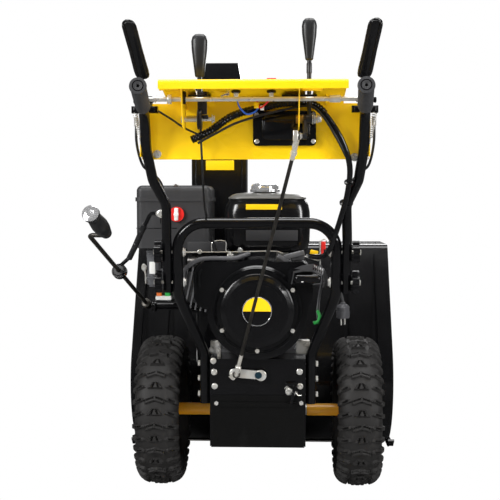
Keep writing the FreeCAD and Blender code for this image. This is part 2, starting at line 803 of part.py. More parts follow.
# ---------------------------------------------------------------- impeller housing and outlet
def impeller_housing():
    """The round can behind the tub with its back wall and the outlet collar of the chute."""
    sheet = s.housing_sheet
    reach = s.auger_y - 100 - can_y
    inside = s.can_radius - sheet
    can = rod("can_solid", s.can_radius, reach, (0, can_y, impeller_z), "Y")
    collar_height = s.chute_ring_z - impeller_z
    outlet = (s.chute_x, s.chute_y, impeller_z)
    collar = rod("outlet_solid", s.outlet_radius, collar_height, outlet, "Z")
    flange = rod("outlet_flange", s.chute_ring_radius - 8, 4,
                 (s.chute_x, s.chute_y, s.chute_ring_z - 4), "Z")
    shell = join("can_and_outlet", [can, collar, flange])
    can_hollow = rod("can_hollow", inside, reach, (0, can_y + sheet, impeller_z), "Y")
    outlet_hollow = rod("outlet_hollow", s.outlet_radius - sheet, collar_height + 2, outlet, "Z")
    shaft_hole = rod("can_shaft_hole", s.impeller_shaft_radius + 4, 30, (0, can_y - 10, impeller_z), "Y")
    tub_room = shaped("tub_room", hollow.makeOffsetShape(float(sheet), 0.01))
    return cut("impeller_housing_cut", shell, can_hollow, outlet_hollow, shaft_hole, tub_room)


node("impeller_housing", impeller_housing())


# ---------------------------------------------------------------- shoes, scraper and their bolts
def skid_shoe():
    """A bolted runner with an out-turned foot whose ends curl up."""
    thick = s.shoe_thickness
    middle = s.auger_y + 20
    wall = box("shoe_wall", (thick, s.shoe_length - 40, s.shoe_height),
               (side_x + thick / 2, middle, s.shoe_drop + s.shoe_height / 2))
    foot_outline = [(-s.shoe_length / 2, 22), (-s.shoe_length / 2 + 26, 0), (s.shoe_length / 2 - 26, 0),
                    (s.shoe_length / 2, 22), (s.shoe_length / 2 - 4, 26), (s.shoe_length / 2 - 28, thick),
                    (-s.shoe_length / 2 + 28, thick), (-s.shoe_length / 2 + 4, 26)]
    foot = plate("shoe_foot", foot_outline, s.shoe_foot, (side_x, middle, s.shoe_drop), "X")
    shoe = join("shoe_whole", [wall, foot])
    slots = [box(f"shoe_slot_{index}", (thick * 4, 9.5, 44), (side_x, y, shoe_bolt_z))
             for index, y in enumerate(shoe_bolt_y)]
    return cut("shoe_slotted", shoe, *slots)


def scraper():
    """The wear strip under the tub, at a slight slope, on three square-necked bolts."""
    turn = FreeCAD.Rotation(Vector(1, 0, 0), -scraper_slope)
    strip = box("scraper_strip", (s.scraper_length, s.scraper_width, s.scraper_thickness),
                (0, scraper_y, scraper_z), turn)
    return strip


scraper_slope = 13
scraper_lean = math.radians(scraper_slope)
scraper_out = s.tub_radius + s.housing_sheet + s.scraper_thickness / 2 + 0.2
scraper_y = s.auger_y - scraper_out * math.sin(scraper_lean)
scraper_z = s.auger_z - scraper_out * math.cos(scraper_lean)
node("skid_shoes", pair("shoe_pair", skid_shoe()))
node("scraper_bar", scraper())


def housing_bolts():
    """Bolts of the shoes, scraper, auger bearings, frame sides and covers."""
    found = []
    for index, y in enumerate(shoe_bolt_y):
        for side in (-1, 1):
            found.append(bolt(f"shoe_bolt_{index}_{side + 1}", s.plate_bolt / 2, -7 * side,
                              ((side_x + s.shoe_thickness) * side, y, shoe_bolt_z), "X"))
    return found


# ---------------------------------------------------------------- auger
def flight(name, side):
    """One ribbon that winds from the side plate towards the middle, pushing snow inwards."""
    inner = float(s.gearbox_length) / 2 + 10
    outer = float(inner_x) - 12
    turns = (outer - inner) / float(s.auger_pitch)
    high = float(s.auger_radius)
    low = high - float(s.ribbon_width)
    thick = float(s.ribbon_thickness)
    steps = 14
    solids = []
    for start_turn in (0, 0.5):
        rows = []
        for radius in (low, high):
            for shift in (0, thick):
                points = []
                for index in range(steps + 1):
                    share = index / steps
                    angle = side * math.tau * (turns * share + start_turn)
                    x = side * (inner + (outer - inner - thick) * share + shift)
                    points.append(Vector(x, radius * math.cos(angle), radius * math.sin(angle)))
                curve = Part.BSplineCurve()
                curve.interpolate(points)
                rows.append(curve.toShape())
        low_a, low_b, high_a, high_b = rows
        faces = [Part.makeRuledSurface(a, b) for a, b in
                 ((low_a, high_a), (high_a, high_b), (high_b, low_b), (low_b, low_a))]
        for end in (0, -1):
            loop = [edge.Vertexes[end].Point for edge in (low_a, high_a, high_b, low_b)]
            faces.append(Part.Face(Part.makePolygon(loop + loop[:1])))
        shell = Part.makeShell(faces)
        shell.sewShape()
        ribbon = Part.makeSolid(shell)
        if ribbon.Volume < 0:
            ribbon.reverse()
        solids.append(ribbon)
    flights = shaped(f"{name}_ribbons", Part.makeCompound(solids))
    hub_start = side * inner if side > 0 else side * (inner + 200)
    spokes = []
    for turn in (0, 0.5):
        for share in (0.08, 0.5, 0.92):
            angle = 360 * side * (turns * share + turn)
            x = side * (inner + (outer - inner) * share)
            turn_to = FreeCAD.Rotation(Vector(1, 0, 0), angle - 90)
            direction = Vector(0, math.cos(math.radians(angle)), math.sin(math.radians(angle)))
            reach = s.auger_radius - s.ribbon_width / 2
            start = direction * (float(s.auger_shaft_radius) + 5)
            item = rod(f"{name}_spoke_{len(spokes)}", 5, reach - s.auger_shaft_radius - 5, (0, 0, 0), turn_to)
            place(item, (x, s.auger_y + start.y, s.auger_z + start.z))
            spokes.append(item)
    place(flights, (0, s.auger_y, s.auger_z))
    sleeve_length = outer - inner
    sleeve_start = inner if side > 0 else -outer
    sleeve = ring(f"{name}_sleeve", s.auger_shaft_radius + 6, s.auger_shaft_radius + s.running_fit,
                  sleeve_length, (sleeve_start, s.auger_y, s.auger_z), "X")
    return join(f"{name}_welded", [sleeve, flights] + spokes)


node("auger_flights", group("auger_flight_pair", [flight("auger_left", -1), flight("auger_right", 1)]))
worm_wheel_x = -s.worm_wheel_width / 2
node("auger_shaft", join("auger_shaft_whole", [
    rod("auger_shaft_bar", s.auger_shaft_radius, s.clearing_width + 10,
        (-side_x - 5, s.auger_y, s.auger_z), "X"),
    rod("auger_worm_wheel", s.worm_wheel_radius, s.worm_wheel_width,
        (worm_wheel_x, s.auger_y, s.auger_z), "X"),
]))


def auger_bearing():
    """A flanged nylon bush bolted to the side plate."""
    bore = s.auger_shaft_radius + s.running_fit
    neck = s.auger_shaft_radius + 4 - s.screw_gap
    return lathe("auger_bearing_turned", [
        (bore, -8), (neck, -8), (neck, s.housing_sheet), (34, s.housing_sheet),
        (34, s.housing_sheet + 4), (bore, s.housing_sheet + 4)],
        (inner_x, s.auger_y, s.auger_z), "X")


node("shaft_bearings", group("shaft_bearing_set", [
    pair("auger_bearing_pair", auger_bearing()), pair("axle_bearing_pair", axle_bearing())]))


# ---------------------------------------------------------------- gearbox and impeller
def gearbox_case():
    """A cast case on the auger shaft that closes over the worm and its wheel."""
    wall = s.gearbox_wall
    radius = s.worm_wheel_radius + s.impeller_worm_radius * 2 + wall + 3
    length = s.gearbox_length
    barrel = rod("gearbox_barrel", radius, length, (-length / 2, s.auger_y, s.auger_z), "X")
    snout_start = s.auger_y - s.gearbox_snout
    snout = rod("gearbox_snout", s.gearbox_snout_radius, s.gearbox_snout, (0, snout_start, impeller_z), "Y")
    case = join("gearbox_solid", [barrel, snout])
    room = rod("gearbox_room", radius - wall, length - 2 * wall,
               (-length / 2 + wall, s.auger_y, s.auger_z), "X")
    shaft = rod("gearbox_shaft_hole", s.auger_shaft_radius + s.running_fit, length + 4,
                (-length / 2 - 2, s.auger_y, s.auger_z), "X")
    input_hole = rod("gearbox_input_hole", s.impeller_shaft_radius + s.running_fit, s.gearbox_snout,
                     (0, snout_start - 1, impeller_z), "Y")
    return cut("gearbox_case_cut", case, room, shaft, input_hole)


def impeller():
    """Four steel paddles on a hub, each with a turned-over tip."""
    start = can_y + s.housing_sheet + 4
    depth = s.impeller_depth
    hub = rod("impeller_hub", 21, depth, (0, start, impeller_z), "Y")
    pieces = [hub]
    middle = start + depth / 2
    for index, (x, z) in enumerate(((1, 0), (0, 1), (-1, 0), (0, -1))):
        half = s.impeller_radius / 2
        size = (s.impeller_radius, depth, 4) if x else (4, depth, s.impeller_radius)
        pieces.append(box(f"impeller_blade_{index}", size, (half * x, middle, impeller_z + half * z)))
    bore = rod("impeller_bore", s.impeller_shaft_radius + s.running_fit, depth + 2,
               (0, start - 1, impeller_z), "Y")
    return cut("impeller_bored", join("impeller_solid", pieces), bore)


node("gearbox_case", gearbox_case())
node("impeller", impeller())
node("impeller_shaft", join("impeller_shaft_whole", [
    rod("impeller_shaft_bar", s.impeller_shaft_radius, s.auger_y + 22 - pulley_back,
        (0, pulley_back, impeller_z), "Y"),
    rod("impeller_worm", s.impeller_worm_radius, 30, (0, s.auger_y - 15, impeller_z), "Y"),
    belt_pulley("auger_pulley", s.auger_pulley_radius, s.pulley_width, pulley_back, impeller_z),
]))

# ---------------------------------------------------------------- engine
shroud_front = -s.shroud_rear + s.shroud_depth
deck_z = s.frame_top


def crankcase():
    """The cast block on its base plate, bored for the crankshaft."""
    depth = s.crankcase_front - shroud_front
    middle_y = (s.crankcase_front + shroud_front) / 2
    foot = box("crankcase_foot", (222, depth, 9), (0, middle_y, deck_z + 4.5))
    block_height = s.crank_z + 72 - deck_z - 9
    block = box("crankcase_block", (188, depth - 8, block_height),
                (0, middle_y, deck_z + 9 + block_height / 2))
    boss = rod("crankcase_boss", 46, depth, (0, shroud_front, s.crank_z), "Y")
    solid = join("crankcase_solid", [foot, rounded("crankcase_soft", block, 14, FORWARD), boss])
    bore = rod("crankcase_bore", s.crank_radius + s.running_fit, depth + 4,
               (0, shroud_front - 2, s.crank_z), "Y")
    return cut("crankcase_bored", solid, bore)


def cylinder_head():
    """The finned barrel and head that lean out over the left wheel."""
    lean = FreeCAD.Rotation(Vector(0, 1, 0), 12)
    middle = Vector(-164, -28, 512)
    along_x = lean.multVec(Vector(1, 0, 0))
    pieces = []
    for index in range(7):
        at = middle + along_x * (54 - 13 * index)
        pieces.append(box(f"cylinder_fin_{index}", (4, s.fin_size, s.fin_size), tuple(at), lean))
    pieces.append(box("cylinder_barrel", (138, 74, 74), tuple(middle), lean))
    at = middle - along_x * 62
    pieces.append(box("cylinder_cover", (26, 92, 92), tuple(at), lean))
    exhaust = rod("exhaust_stub", 12, 50, (-188, 0, 520), "Y")
    head = join("cylinder_head_solid", pieces + [exhaust])
    room = box("cylinder_head_trim", (60, 150, 400), (-94 + 30, -28, 500))
    return cut("cylinder_head_cut", head, room)


def shroud_form(name, inset, start_y):
    """A block across the top, running out to the left, and a round part about the crank."""
    depth = s.shroud_depth
    left, right, above = s.shroud_left - inset, s.shroud_right - inset, s.shroud_above - inset
    block = box(f"{name}_block", (left + right, depth, above),
                ((right - left) / 2, start_y + depth / 2, s.crank_z + above / 2))
    block = rounded(f"{name}_soft", block, s.shroud_corner - inset, FORWARD)
    drum = rod(f"{name}_drum", s.shroud_radius - inset, depth, (0, start_y, s.crank_z), "Y")
    return join(f"{name}_whole", [block, drum])


def fan_shroud():
    """The pressed cowl round the flywheel, open ahead and holed behind for air."""
    outer = shroud_form("shroud_outer", as_size(0), -s.shroud_rear)
    inner = shroud_form("shroud_inner", s.shroud_sheet, s.shroud_sheet - s.shroud_rear)
    air = rod("shroud_air_hole", s.recoil_step_radius - 10, 20, (0, -s.shroud_rear - 10, s.crank_z), "Y")
    rope = box("shroud_rope_hole", (18, 20, 18), (s.pull_x, -s.shroud_rear, s.pull_z))
    return cut("shroud_pressed", outer, inner, air, rope, *recoil_drills)


def recoil_cover():
    """The round starter housing with vents, and the hood that guides the rope."""
    depth = s.recoil_rear - s.shroud_rear
    high, step, sheet = s.recoil_radius, s.recoil_step_radius, 2.5
    outline = [(0, 0), (step - 9, 0), (step, 6), (step + 2, depth - 12), (high - 8, depth - 12),
               (high, depth - 5), (high, depth), (high - sheet, depth), (high - sheet, depth - 5 + sheet),
               (high - 8, depth - 12 + sheet), (step - 1, depth - 12 + sheet), (step - 3, 6 + sheet),
               (step - 11, sheet), (0, sheet)]
    dome = lathe("recoil_turned", outline, (0, -s.recoil_rear, s.crank_z), "Y")
    badge = rod("recoil_badge", 35, 3, (0, -s.recoil_rear - 3, s.crank_z), "Y")
    hood = box("recoil_hood", (58, depth, 38), (s.pull_x - 16, -s.shroud_rear - depth / 2, s.pull_z + 2))
    hood = rounded("recoil_hood_soft", hood, 9, FORWARD)
    vents = []
    for index in range(24):
        lean = FreeCAD.Rotation(Vector(0, 1, 0), -15 * index - 7.5)
        way = lean.multVec(Vector(1, 0, 0))
        vents.append(box(f"recoil_vent_{index}", (12, 9, 8),
                         (step * way.x, -s.recoil_rear + 13, s.crank_z + step * way.z), lean))
    rope_hole = rod("recoil_rope_hole", s.rope_radius + 1, depth + 4,
                    (s.pull_x, -s.recoil_rear - 2, s.pull_z), "Y")
    inside = rod("recoil_hood_room", step - 3, depth, (0, -s.recoil_rear + sheet, s.crank_z), "Y")
    hood = cut("recoil_hood_cut", hood, inside)
    return cut("recoil_vented", join("recoil_solid", [dome, badge, hood]), rope_hole, *vents, *recoil_drills)


def recoil_handle():
    """The moulded pull and the rope that runs in through the hood."""
    grip_y = -s.recoil_rear - 12
    bar = rod("pull_bar", 10.5, 62, (s.pull_x - 31, grip_y, s.pull_z), "X")
    bar = rounded("pull_bar_soft", bar, 8, lambda edge: True)
    neck = rod("pull_neck", 7, 11, (s.pull_x, grip_y, s.pull_z), "Y")
    rope = rod("pull_rope", s.rope_radius, s.rope_length, (s.pull_x, grip_y, s.pull_z), "Y")
    return join("recoil_handle_whole", [bar, neck, rope])


recoil_spots = [((s.recoil_radius - 9) * math.cos(math.radians(angle)),
                 s.crank_z + (s.recoil_radius - 9) * math.sin(math.radians(angle)))
                for angle in (30, 150, 210, 270, 330)]
recoil_drills = [rod(f"recoil_drill_{index}", 3 + s.screw_gap, 60, (x, -s.recoil_rear - 10, z), "Y")
                 for index, (x, z) in enumerate(recoil_spots)]
node("crankcase", crankcase())
node("cylinder_head", cylinder_head())
node("fan_shroud", fan_shroud())
node("recoil_cover", recoil_cover())
node("recoil_handle", recoil_handle())

muffler = rounded("muffler_soft", box("muffler_block", (96, 44, 92), (-188, 72, 532)), 12, ACROSS)
node("muffler", muffler)

crankshaft = join("crankshaft_whole", [
    rod("crankshaft_bar", s.crank_radius, s.shroud_rear - 20 + drive_shaft_front,
        (0, -s.shroud_rear + 20, s.crank_z), "Y"),
    belt_pulley("engine_pulley", s.engine_pulley_radius, s.pulley_width, pulley_back, s.crank_z),
    belt_pulley("engine_drive_pulley", s.engine_pulley_radius, s.drive_pulley_width,
                drive_pulley_y, s.crank_z),
])
flywheel_y = -s.shroud_rear + 34
fins = [box(f"flywheel_fin_{index}", (26, 16, 3.5),
            (math.cos(math.radians(24 * index)) * (s.flywheel_radius - 16), flywheel_y - 7,
             s.crank_z + math.sin(math.radians(24 * index)) * (s.flywheel_radius - 16)),
            FreeCAD.Rotation(Vector(0, 1, 0), -24 * index)) for index in range(15)]
flywheel = cut("flywheel_bored", join("flywheel_solid", [
    rod("flywheel_disc", s.flywheel_radius, 34, (0, flywheel_y, s.crank_z), "Y")] + fins),
    rod("flywheel_bore", s.crank_radius + s.running_fit, 90, (0, flywheel_y - 30, s.crank_z), "Y"))
node("crankshaft", group("crankshaft_set", [crankshaft, flywheel]))


def fuel_tank():
    """A blow-moulded tank with a filler neck."""
    height = s.tank_top - s.tank_bottom
    middle_z = (s.tank_top + s.tank_bottom) / 2
    wall = s.tank_wall
    outer = rounded("tank_soft", box("tank_block", (s.tank_width, s.tank_length, height),
                    (s.tank_x, s.tank_y, middle_z)), 22, lambda edge: True)
    hollow = rounded("tank_room", box("tank_hollow", (s.tank_width - 2 * wall, s.tank_length - 2 * wall,
                     height - 2 * wall), (s.tank_x, s.tank_y, middle_z)), 18, lambda edge: True)
    neck = rod("tank_neck", neck_radius, 14, (cap_x, cap_y, s.tank_top - 4), "Z")
    bore = rod("tank_neck_bore", neck_radius - 4, 40, (cap_x, cap_y, s.tank_top - 20), "Z")
    return cut("fuel_tank_moulded", join("tank_solid", [outer, neck]), hollow, bore)


def fuel_cap():
    """A ribbed screw cap that stands over the neck."""
    inside = neck_radius + s.contact_gap
    low = s.tank_top + s.contact_gap
    outline = [(0, 12), (inside, 12), (inside, 0), (s.cap_radius, 0), (s.cap_radius, s.cap_height - 5),
               (s.cap_radius - 5, s.cap_height), (0, s.cap_height)]
    disc = lathe("fuel_cap_turned", outline, (cap_x, cap_y, low), "Z")
    grips = []
    for index in range(12):
        angle = math.radians(30 * index)
        grips.append(rod(f"fuel_cap_notch_{index}", 3, s.cap_height + 4,
                         (cap_x + (s.cap_radius + 1) * math.cos(angle),
                          cap_y + (s.cap_radius + 1) * math.sin(angle), low - 2), "Z"))
    return cut("fuel_cap_notched", disc, *grips)


cap_x = s.tank_x - 8
cap_y = s.tank_y - 30
neck_radius = s.cap_radius - 8
node("fuel_tank", fuel_tank())
node("fuel_cap", fuel_cap())
bracket_top = s.tank_bottom
bracket_low = s.crank_z + 72
node("tank_bracket", join("tank_bracket_whole", [
    box(f"tank_bracket_{kind}_{side + 1}", size, (s.tank_x - 27 + 62 * side, y, z))
    for side in (-1, 1) for kind, size, y, z in (
        ("leg", (30, 3, bracket_top - bracket_low), -60, (bracket_top + bracket_low) / 2),
        ("foot", (30, 40, 3), -41, bracket_low + 1.5),
        ("shelf", (30, 90, 3), -60, bracket_top - 1.5))]))


def carburettor_cover():
    """The moulded warm-air box with its lid rim, open below."""
    height = s.cover_top - s.cover_bottom
    middle = (s.cover_x, s.cover_y, (s.cover_top + s.cover_bottom) / 2)
    wall = s.cover_wall
    soft = rounded("cover_soft", box("cover_block", (s.cover_width, s.cover_length, height), middle),
                   14, lambda edge: UPRIGHT(edge) or edge.CenterOfMass.z > s.cover_top.value - 1)
    rim = rounded("cover_rim", box("cover_rim_block", (s.cover_width + 6, s.cover_length + 6, 10),
                  (s.cover_x, s.cover_y, s.cover_top - 34)), 15, UPRIGHT)
    hollow = box("cover_hollow", (s.cover_width - 2 * wall, s.cover_length - 2 * wall, height),
                 (s.cover_x, s.cover_y, middle[2] - wall))
    hollow = rounded("cover_room", hollow, 11,
                     lambda edge: UPRIGHT(edge) or edge.CenterOfMass.z > s.cover_top.value - wall.value - 1)
    knob_hole = rod("cover_knob_hole", s.choke_pin_radius + s.running_fit, 20,
                    (choke_x, cover_back - 8, choke_z), "Y")
    shell = cut("cover_moulded", join("cover_solid", [soft, rim]), hollow, knob_hole)
    shelf = box("cover_shelf", (s.cover_width - 2 * wall, 60, wall),
                (s.cover_x, s.cover_y, carburettor_top + s.contact_gap + wall / 2))
    return join("cover_whole", [shell, shelf])


def carburettor():
    """The carburettor and its manifold, standing on the head inside the cover."""
    low = 590
    body = box("carburettor_body", (58, 52, carburettor_top - low - 20), (-196, s.cover_y + 4, (carburettor_top + low + 20) / 2))
    manifold = rod("carburettor_manifold", 15, low + 24 - 569.5, (-196, s.cover_y + 6, 569.5), "Z")
    return join("carburettor_whole", [body, manifold])


cover_back = s.cover_y - s.cover_length / 2
choke_x = s.cover_x + 9
choke_z = s.cover_top - s.choke_drop
carburettor_top = s.cover_bottom + 62
node("carburettor_cover", group("carburettor_set", [carburettor_cover(), carburettor()]))
node("choke_knob", join("choke_knob_whole", [
    rod("choke_disc", 18, 10, (choke_x, cover_back - 10.5, choke_z), "Y"),
    box("choke_bar", (9, 8, 30), (choke_x, cover_back - 14, choke_z)),
    rod("choke_pin", s.choke_pin_radius, 18, (choke_x, cover_back - 8, choke_z), "Y")]))

starter_x, starter_y, starter_z = -264, -72, 524
node("electric_starter", join("electric_starter_whole", [
    rod("starter_can", s.starter_radius, 84, (starter_x, starter_y, starter_z), "Z"),
    *[rod(f"starter_rib_{index}", s.starter_radius + 1.6, 3, (starter_x, starter_y, starter_z + 60 + 6 * index), "Z")
      for index in range(4)],
    rod("starter_nose", s.starter_radius - 5, 8, (starter_x, starter_y, starter_z - 8), "Z"),
    box("starter_strap", (17, 22, 16), (starter_x + 21.4, starter_y + 6, starter_z + 28))]))


def recoil_bolts():
    """Flange bolts of the recoil cover."""
    return [bolt(f"recoil_bolt_{index}", 3, 16, (x, -s.shroud_rear - 12.2, z), "Y", 5.5)
            for index, (x, z) in enumerate(recoil_spots)]


def belt(name, low_radius, high_radius, low_z, high_z, start_y, width, thick):
    """A belt drawn tight round two pulleys, one above the other."""
    rise = high_z - low_z
    lean = math.asin((low_radius - high_radius) / rise)
    faces = []
    for extra in (thick, 0):
        big, small = low_radius + extra, high_radius + extra
        spots = []
        for radius, z, angle in ((big, low_z, lean), (small, high_z, lean)):
            for side in (1, -1):
                spots.append(Vector(side * radius * math.cos(angle), 0, z + radius * math.sin(angle)))
        right_low, left_low, right_high, left_high = spots
        edges = [Part.LineSegment(right_low, right_high).toShape(),
                 Part.Arc(right_high, Vector(0, 0, high_z + small), left_high).toShape(),
                 Part.LineSegment(left_high, left_low).toShape(),
                 Part.Arc(left_low, Vector(0, 0, low_z - big), right_low).toShape()]
        faces.append(Part.Face(Part.Wire(edges)))
    band = faces[0].cut(faces[1]).extrude(Vector(0, width, 0))
    band.translate(Vector(0, start_y, 0))
    return shaped(name, band)


groove = 9 - float(s.contact_gap)
belt_pairs = [("auger_belt", s.auger_pulley_radius, impeller_z, s.pulley_y - 2.5, 5),
              ("traction_belt", s.drive_pulley_radius, disc_z, drive_pulley_y + 3.5, 4)]
node("drive_belts", group("drive_belt_pair", [
    belt(name, float(radius) - groove, float(s.engine_pulley_radius) - groove, float(low_z),
         float(s.crank_z), float(start_y), width, 7)
    for name, radius, low_z, start_y, width in belt_pairs]))


def belt_cover():
    """A moulded hood over the engine's pulley, open below on to the frame's belt slot."""
    wall = 2
    low, high = s.frame_top, s.crank_z + s.engine_pulley_radius + 20
    back, front = s.crankcase_front + 2, can_y - 11
    middle_y = (back + front) / 2
    outer = rounded("belt_cover_soft", box("belt_cover_block", (s.belt_cover_width, front - back, high - low),
                    (0, middle_y, (low + high) / 2)), 30,
                    lambda edge: FORWARD(edge) and edge.CenterOfMass.z > low.value + 5)
    inner = rounded("belt_cover_room", box("belt_cover_hollow", (s.belt_cover_width - 2 * wall, front - back - 2 * wall,
                    high - low), (0, middle_y, (low + high) / 2 - wall)), 28,
                    lambda edge: FORWARD(edge) and edge.CenterOfMass.z > low.value + 5)
    shaft = rod("belt_cover_shaft_hole", s.crank_radius + 3, 20, (0, back - 8, s.crank_z), "Y")
    return cut("belt_cover_moulded", outer, inner, shaft)


node("belt_cover", belt_cover())

# ---------------------------------------------------------------- lower loop and upper tubes
loop_x = s.loop_half_width
loop_r = s.loop_tube / 2
leg_x = frame_x + loop_r
clamp_y = -282
handle_r = s.handle_tube / 2
upper_x = loop_x + loop_r + handle_r
clamp_z = [s.clamp_low, s.clamp_high]
clamp_spots_y = (-265, -276)


def handle_loop():
    """The bent lower loop whose legs are bolted to the sides of the frame."""
    half = [(leg_x, leg_y, deck_z - 110), (leg_x, leg_y, deck_z + 6), (loop_x, -262, s.clamp_low - 28),
            (loop_x, clamp_y - 2, s.loop_top)]
    points = half + [(-x, y, z) for x, y, z in reversed(half)]
    return tube("loop_bent", points, loop_r, 62, s.loop_wall)


tube_bend = (226, -470, 912)
tube_end = (213, -640, 946)


def upper_tube():
    """One upper handle tube, straight beside the loop, then swept back to its grip."""
    return tube("upper_tube_bent", TUBE_POINTS, handle_r, 70, 2)


TUBE_POINTS = [(upper_x, -258, s.clamp_low - 22), (upper_x, clamp_y - 2, s.clamp_high + 26),
              (upper_x - 6, -338, 722), (220, -392, 774), (226, -446, 836), tube_bend, tube_end]


clamp_drills = [rod(f"clamp_drill_{index}", s.clamp_bolt / 2 + s.screw_gap, 80,
                    (loop_x - 30, clamp_y_at, z), "X")
                for index, (z, clamp_y_at) in enumerate(zip(clamp_z, clamp_spots_y))]
other_drills = [mirrored(f"{drill.Name}_other", drill) for drill in clamp_drills]
node("u_handle", cut("loop_drilled", handle_loop(), *clamp_drills, *other_drills, *leg_drills))
node("handle_tubes", pair("upper_tube_pair", cut("upper_tube_drilled", upper_tube(), *clamp_drills)))


def grip():
    """A ribbed rubber grip with a domed end, pushed over the end of the tube."""
    inner = Vector(*tube_bend)
    outer = Vector(*tube_end)
    way = (outer - inner).normalize()
    length = float(s.grip_length)
    start = outer - way * (length - 6)
    turn = FreeCAD.Rotation(Vector(0, 0, 1), way)
    pieces = [rod("grip_body", s.grip_radius, s.grip_length, tuple(start), turn),
              rod("grip_collar", s.grip_radius + 4, 5, tuple(start), turn)]
    hollow = rod("grip_hollow", handle_r + 0.1, s.grip_length - 5, tuple(start - way), turn)
    return cut("grip_moulded", join("grip_solid", pieces), hollow)


node("grips", pair("grip_pair", grip()))


def star_knob(name, side, z, y):
    """A five-lobed clamping knob on the end of its bolt."""
    start = (upper_x + handle_r + 2) * side
    turn = TURNS["X"] if side > 0 else TURNS["X"].multiply(FreeCAD.Rotation(Vector(1, 0, 0), 180))
    core = rod(f"{name}_core", s.knob_radius - 8, s.knob_width, (start, y, z), turn)
    lobes = [core]
    for index in range(5):
        angle = math.radians(72 * index + 18)
        reach = float(s.knob_radius) - 9
        lobes.append(rod(f"{name}_lobe_{index}", 9, s.knob_width,
                         (start, y + reach * math.cos(angle), z + reach * math.sin(angle)), turn))
    bore = rod(f"{name}_bore", s.clamp_bolt / 2 + s.running_fit, 60, (start - 20 * side, y, z), turn)
    return cut(f"{name}_bored", join(f"{name}_solid", lobes), bore)


for height, z, y in zip(("low", "high"), clamp_z, clamp_spots_y):
    for hand, side in (("left", -1), ("right", 1)):
        name = f"clamp_knob_{height}_{hand}"
        node(name, star_knob(name, side, z, y))


def handle_bolts():
    """Carriage bolts that clamp the tubes, and the bolts of the legs, all with washers."""
    found = []
    for index, (z, y) in enumerate(zip(clamp_z, clamp_spots_y)):
        inside = loop_x - loop_r - 0.6
        length = upper_x + handle_r + s.knob_width - inside - 1
        whole = join(f"clamp_bolt_{index}", [
            rod(f"clamp_shank_{index}", s.clamp_bolt / 2, length, (inside, y, z), "X"),
            rod(f"clamp_washer_{index}", 11, 2, (inside - 2, y, z), "X"),
            rod(f"clamp_head_{index}", 8, 3.5, (inside - 5.5, y, z), "X")])
        found += [whole, mirrored(f"clamp_bolt_other_{index}", whole)]
    for index, z in enumerate(frame_bolt_z):
        whole = bolt(f"leg_bolt_{index}", s.plate_bolt / 2, -(s.loop_tube + 10),
                     (leg_x + loop_r, leg_y, z), "X")
        found += [whole, mirrored(f"leg_bolt_other_{index}", whole)]
    return found



# ---------------------------------------------------------------- control panel
panel_y = -s.panel_front
lip_y = panel_y - s.panel_depth
deck_front_z = s.panel_top - 24
lever_y = panel_y - 52


def control_panel():
    """A folded sheet: front wall, sloping deck, turned-down lip and two hanging ribs."""
    sheet = s.panel_sheet
    profile = [(lip_y, s.panel_top - 18), (lip_y, s.panel_top), (panel_y, deck_front_z),
               (panel_y, s.panel_bottom)]
    deck = bent_sheet("panel_deck", profile, 6, -s.panel_sheet, (-s.lip_half_width, 0, 0),
                      s.lip_half_width * 2, "X")
    wall_height = deck_front_z - s.panel_bottom - 8
    wall = box("panel_wall", (s.panel_half_width * 2, sheet, wall_height),
               (0, panel_y + sheet / 2, s.panel_bottom + wall_height / 2))
    pieces = [deck, wall]
    for side in (-1, 1):
        pieces.append(box(f"panel_flange_{side + 1}", (sheet, 30, wall_height - 10),
                          ((s.panel_half_width - sheet / 2) * side, panel_y - 14,
                           s.panel_bottom + wall_height / 2)))
    for index, x in enumerate(rib_x):
        outline = [(lip_y + 30, s.panel_top - 8), (panel_y, deck_front_z - 2), (panel_y, 922),
                   (panel_y - 24, 922), (panel_y - 24, 876), (lever_y - 30, 880)]
        pieces.append(plate(f"panel_rib_{index}", outline, sheet, (x, 0, 0), "X"))
    slots = [box(f"panel_slot_{index}", (15, 96, 60), (x, lever_y, deck_front_z + 14))
             for index, x in enumerate(lever_x)]
    pins = [rod(f"panel_pin_hole_{index}", s.lever_pin + s.screw_gap, 20, (x - 9, lever_y, lever_z), "X")
            for index, x in enumerate(rib_x)]
    conduit_hole = rod("panel_conduit_hole", 9.6, 20, (rib_x[1] - 9, -445, 932.1), "X")
    tube_rooms = [tube(f"panel_tube_room_{index}", [(x * side, y, z) for x, y, z in TUBE_POINTS], handle_r + 0.4, 70)
                  for index, side in enumerate((-1, 1))]
    lamp_hole = box("panel_lamp_hole", (s.lamp_width - 21, 30, s.lamp_height - 17), (lamp_x, panel_y, lamp_z))
    return cut("panel_pressed", join("panel_solid", pieces), *slots, *pins, *tube_rooms,
               conduit_hole, lamp_hole)


def lever_bracket():
    """The bar across each handle tube that carries the clutch lever's pivot."""
    bar = box("lever_bar", (s.bracket_width, 14, 14), (bracket_x, pivot_y, pivot_z - 19))
    ears = [box(f"lever_ear_{index}", (3, 16, 32), (bracket_x + shift, pivot_y, pivot_z - 8))
            for index, shift in enumerate((-14, 14))]
    pin = rod("lever_pivot_pin", s.lever_pin, 36, (bracket_x - 18, pivot_y, pivot_z), "X")
    tube_room = tube("lever_bar_notch", TUBE_POINTS, handle_r + 0.2, 70)
    return cut("lever_bracket_cut", join("lever_bracket_solid", [bar] + ears + [pin]), tube_room)


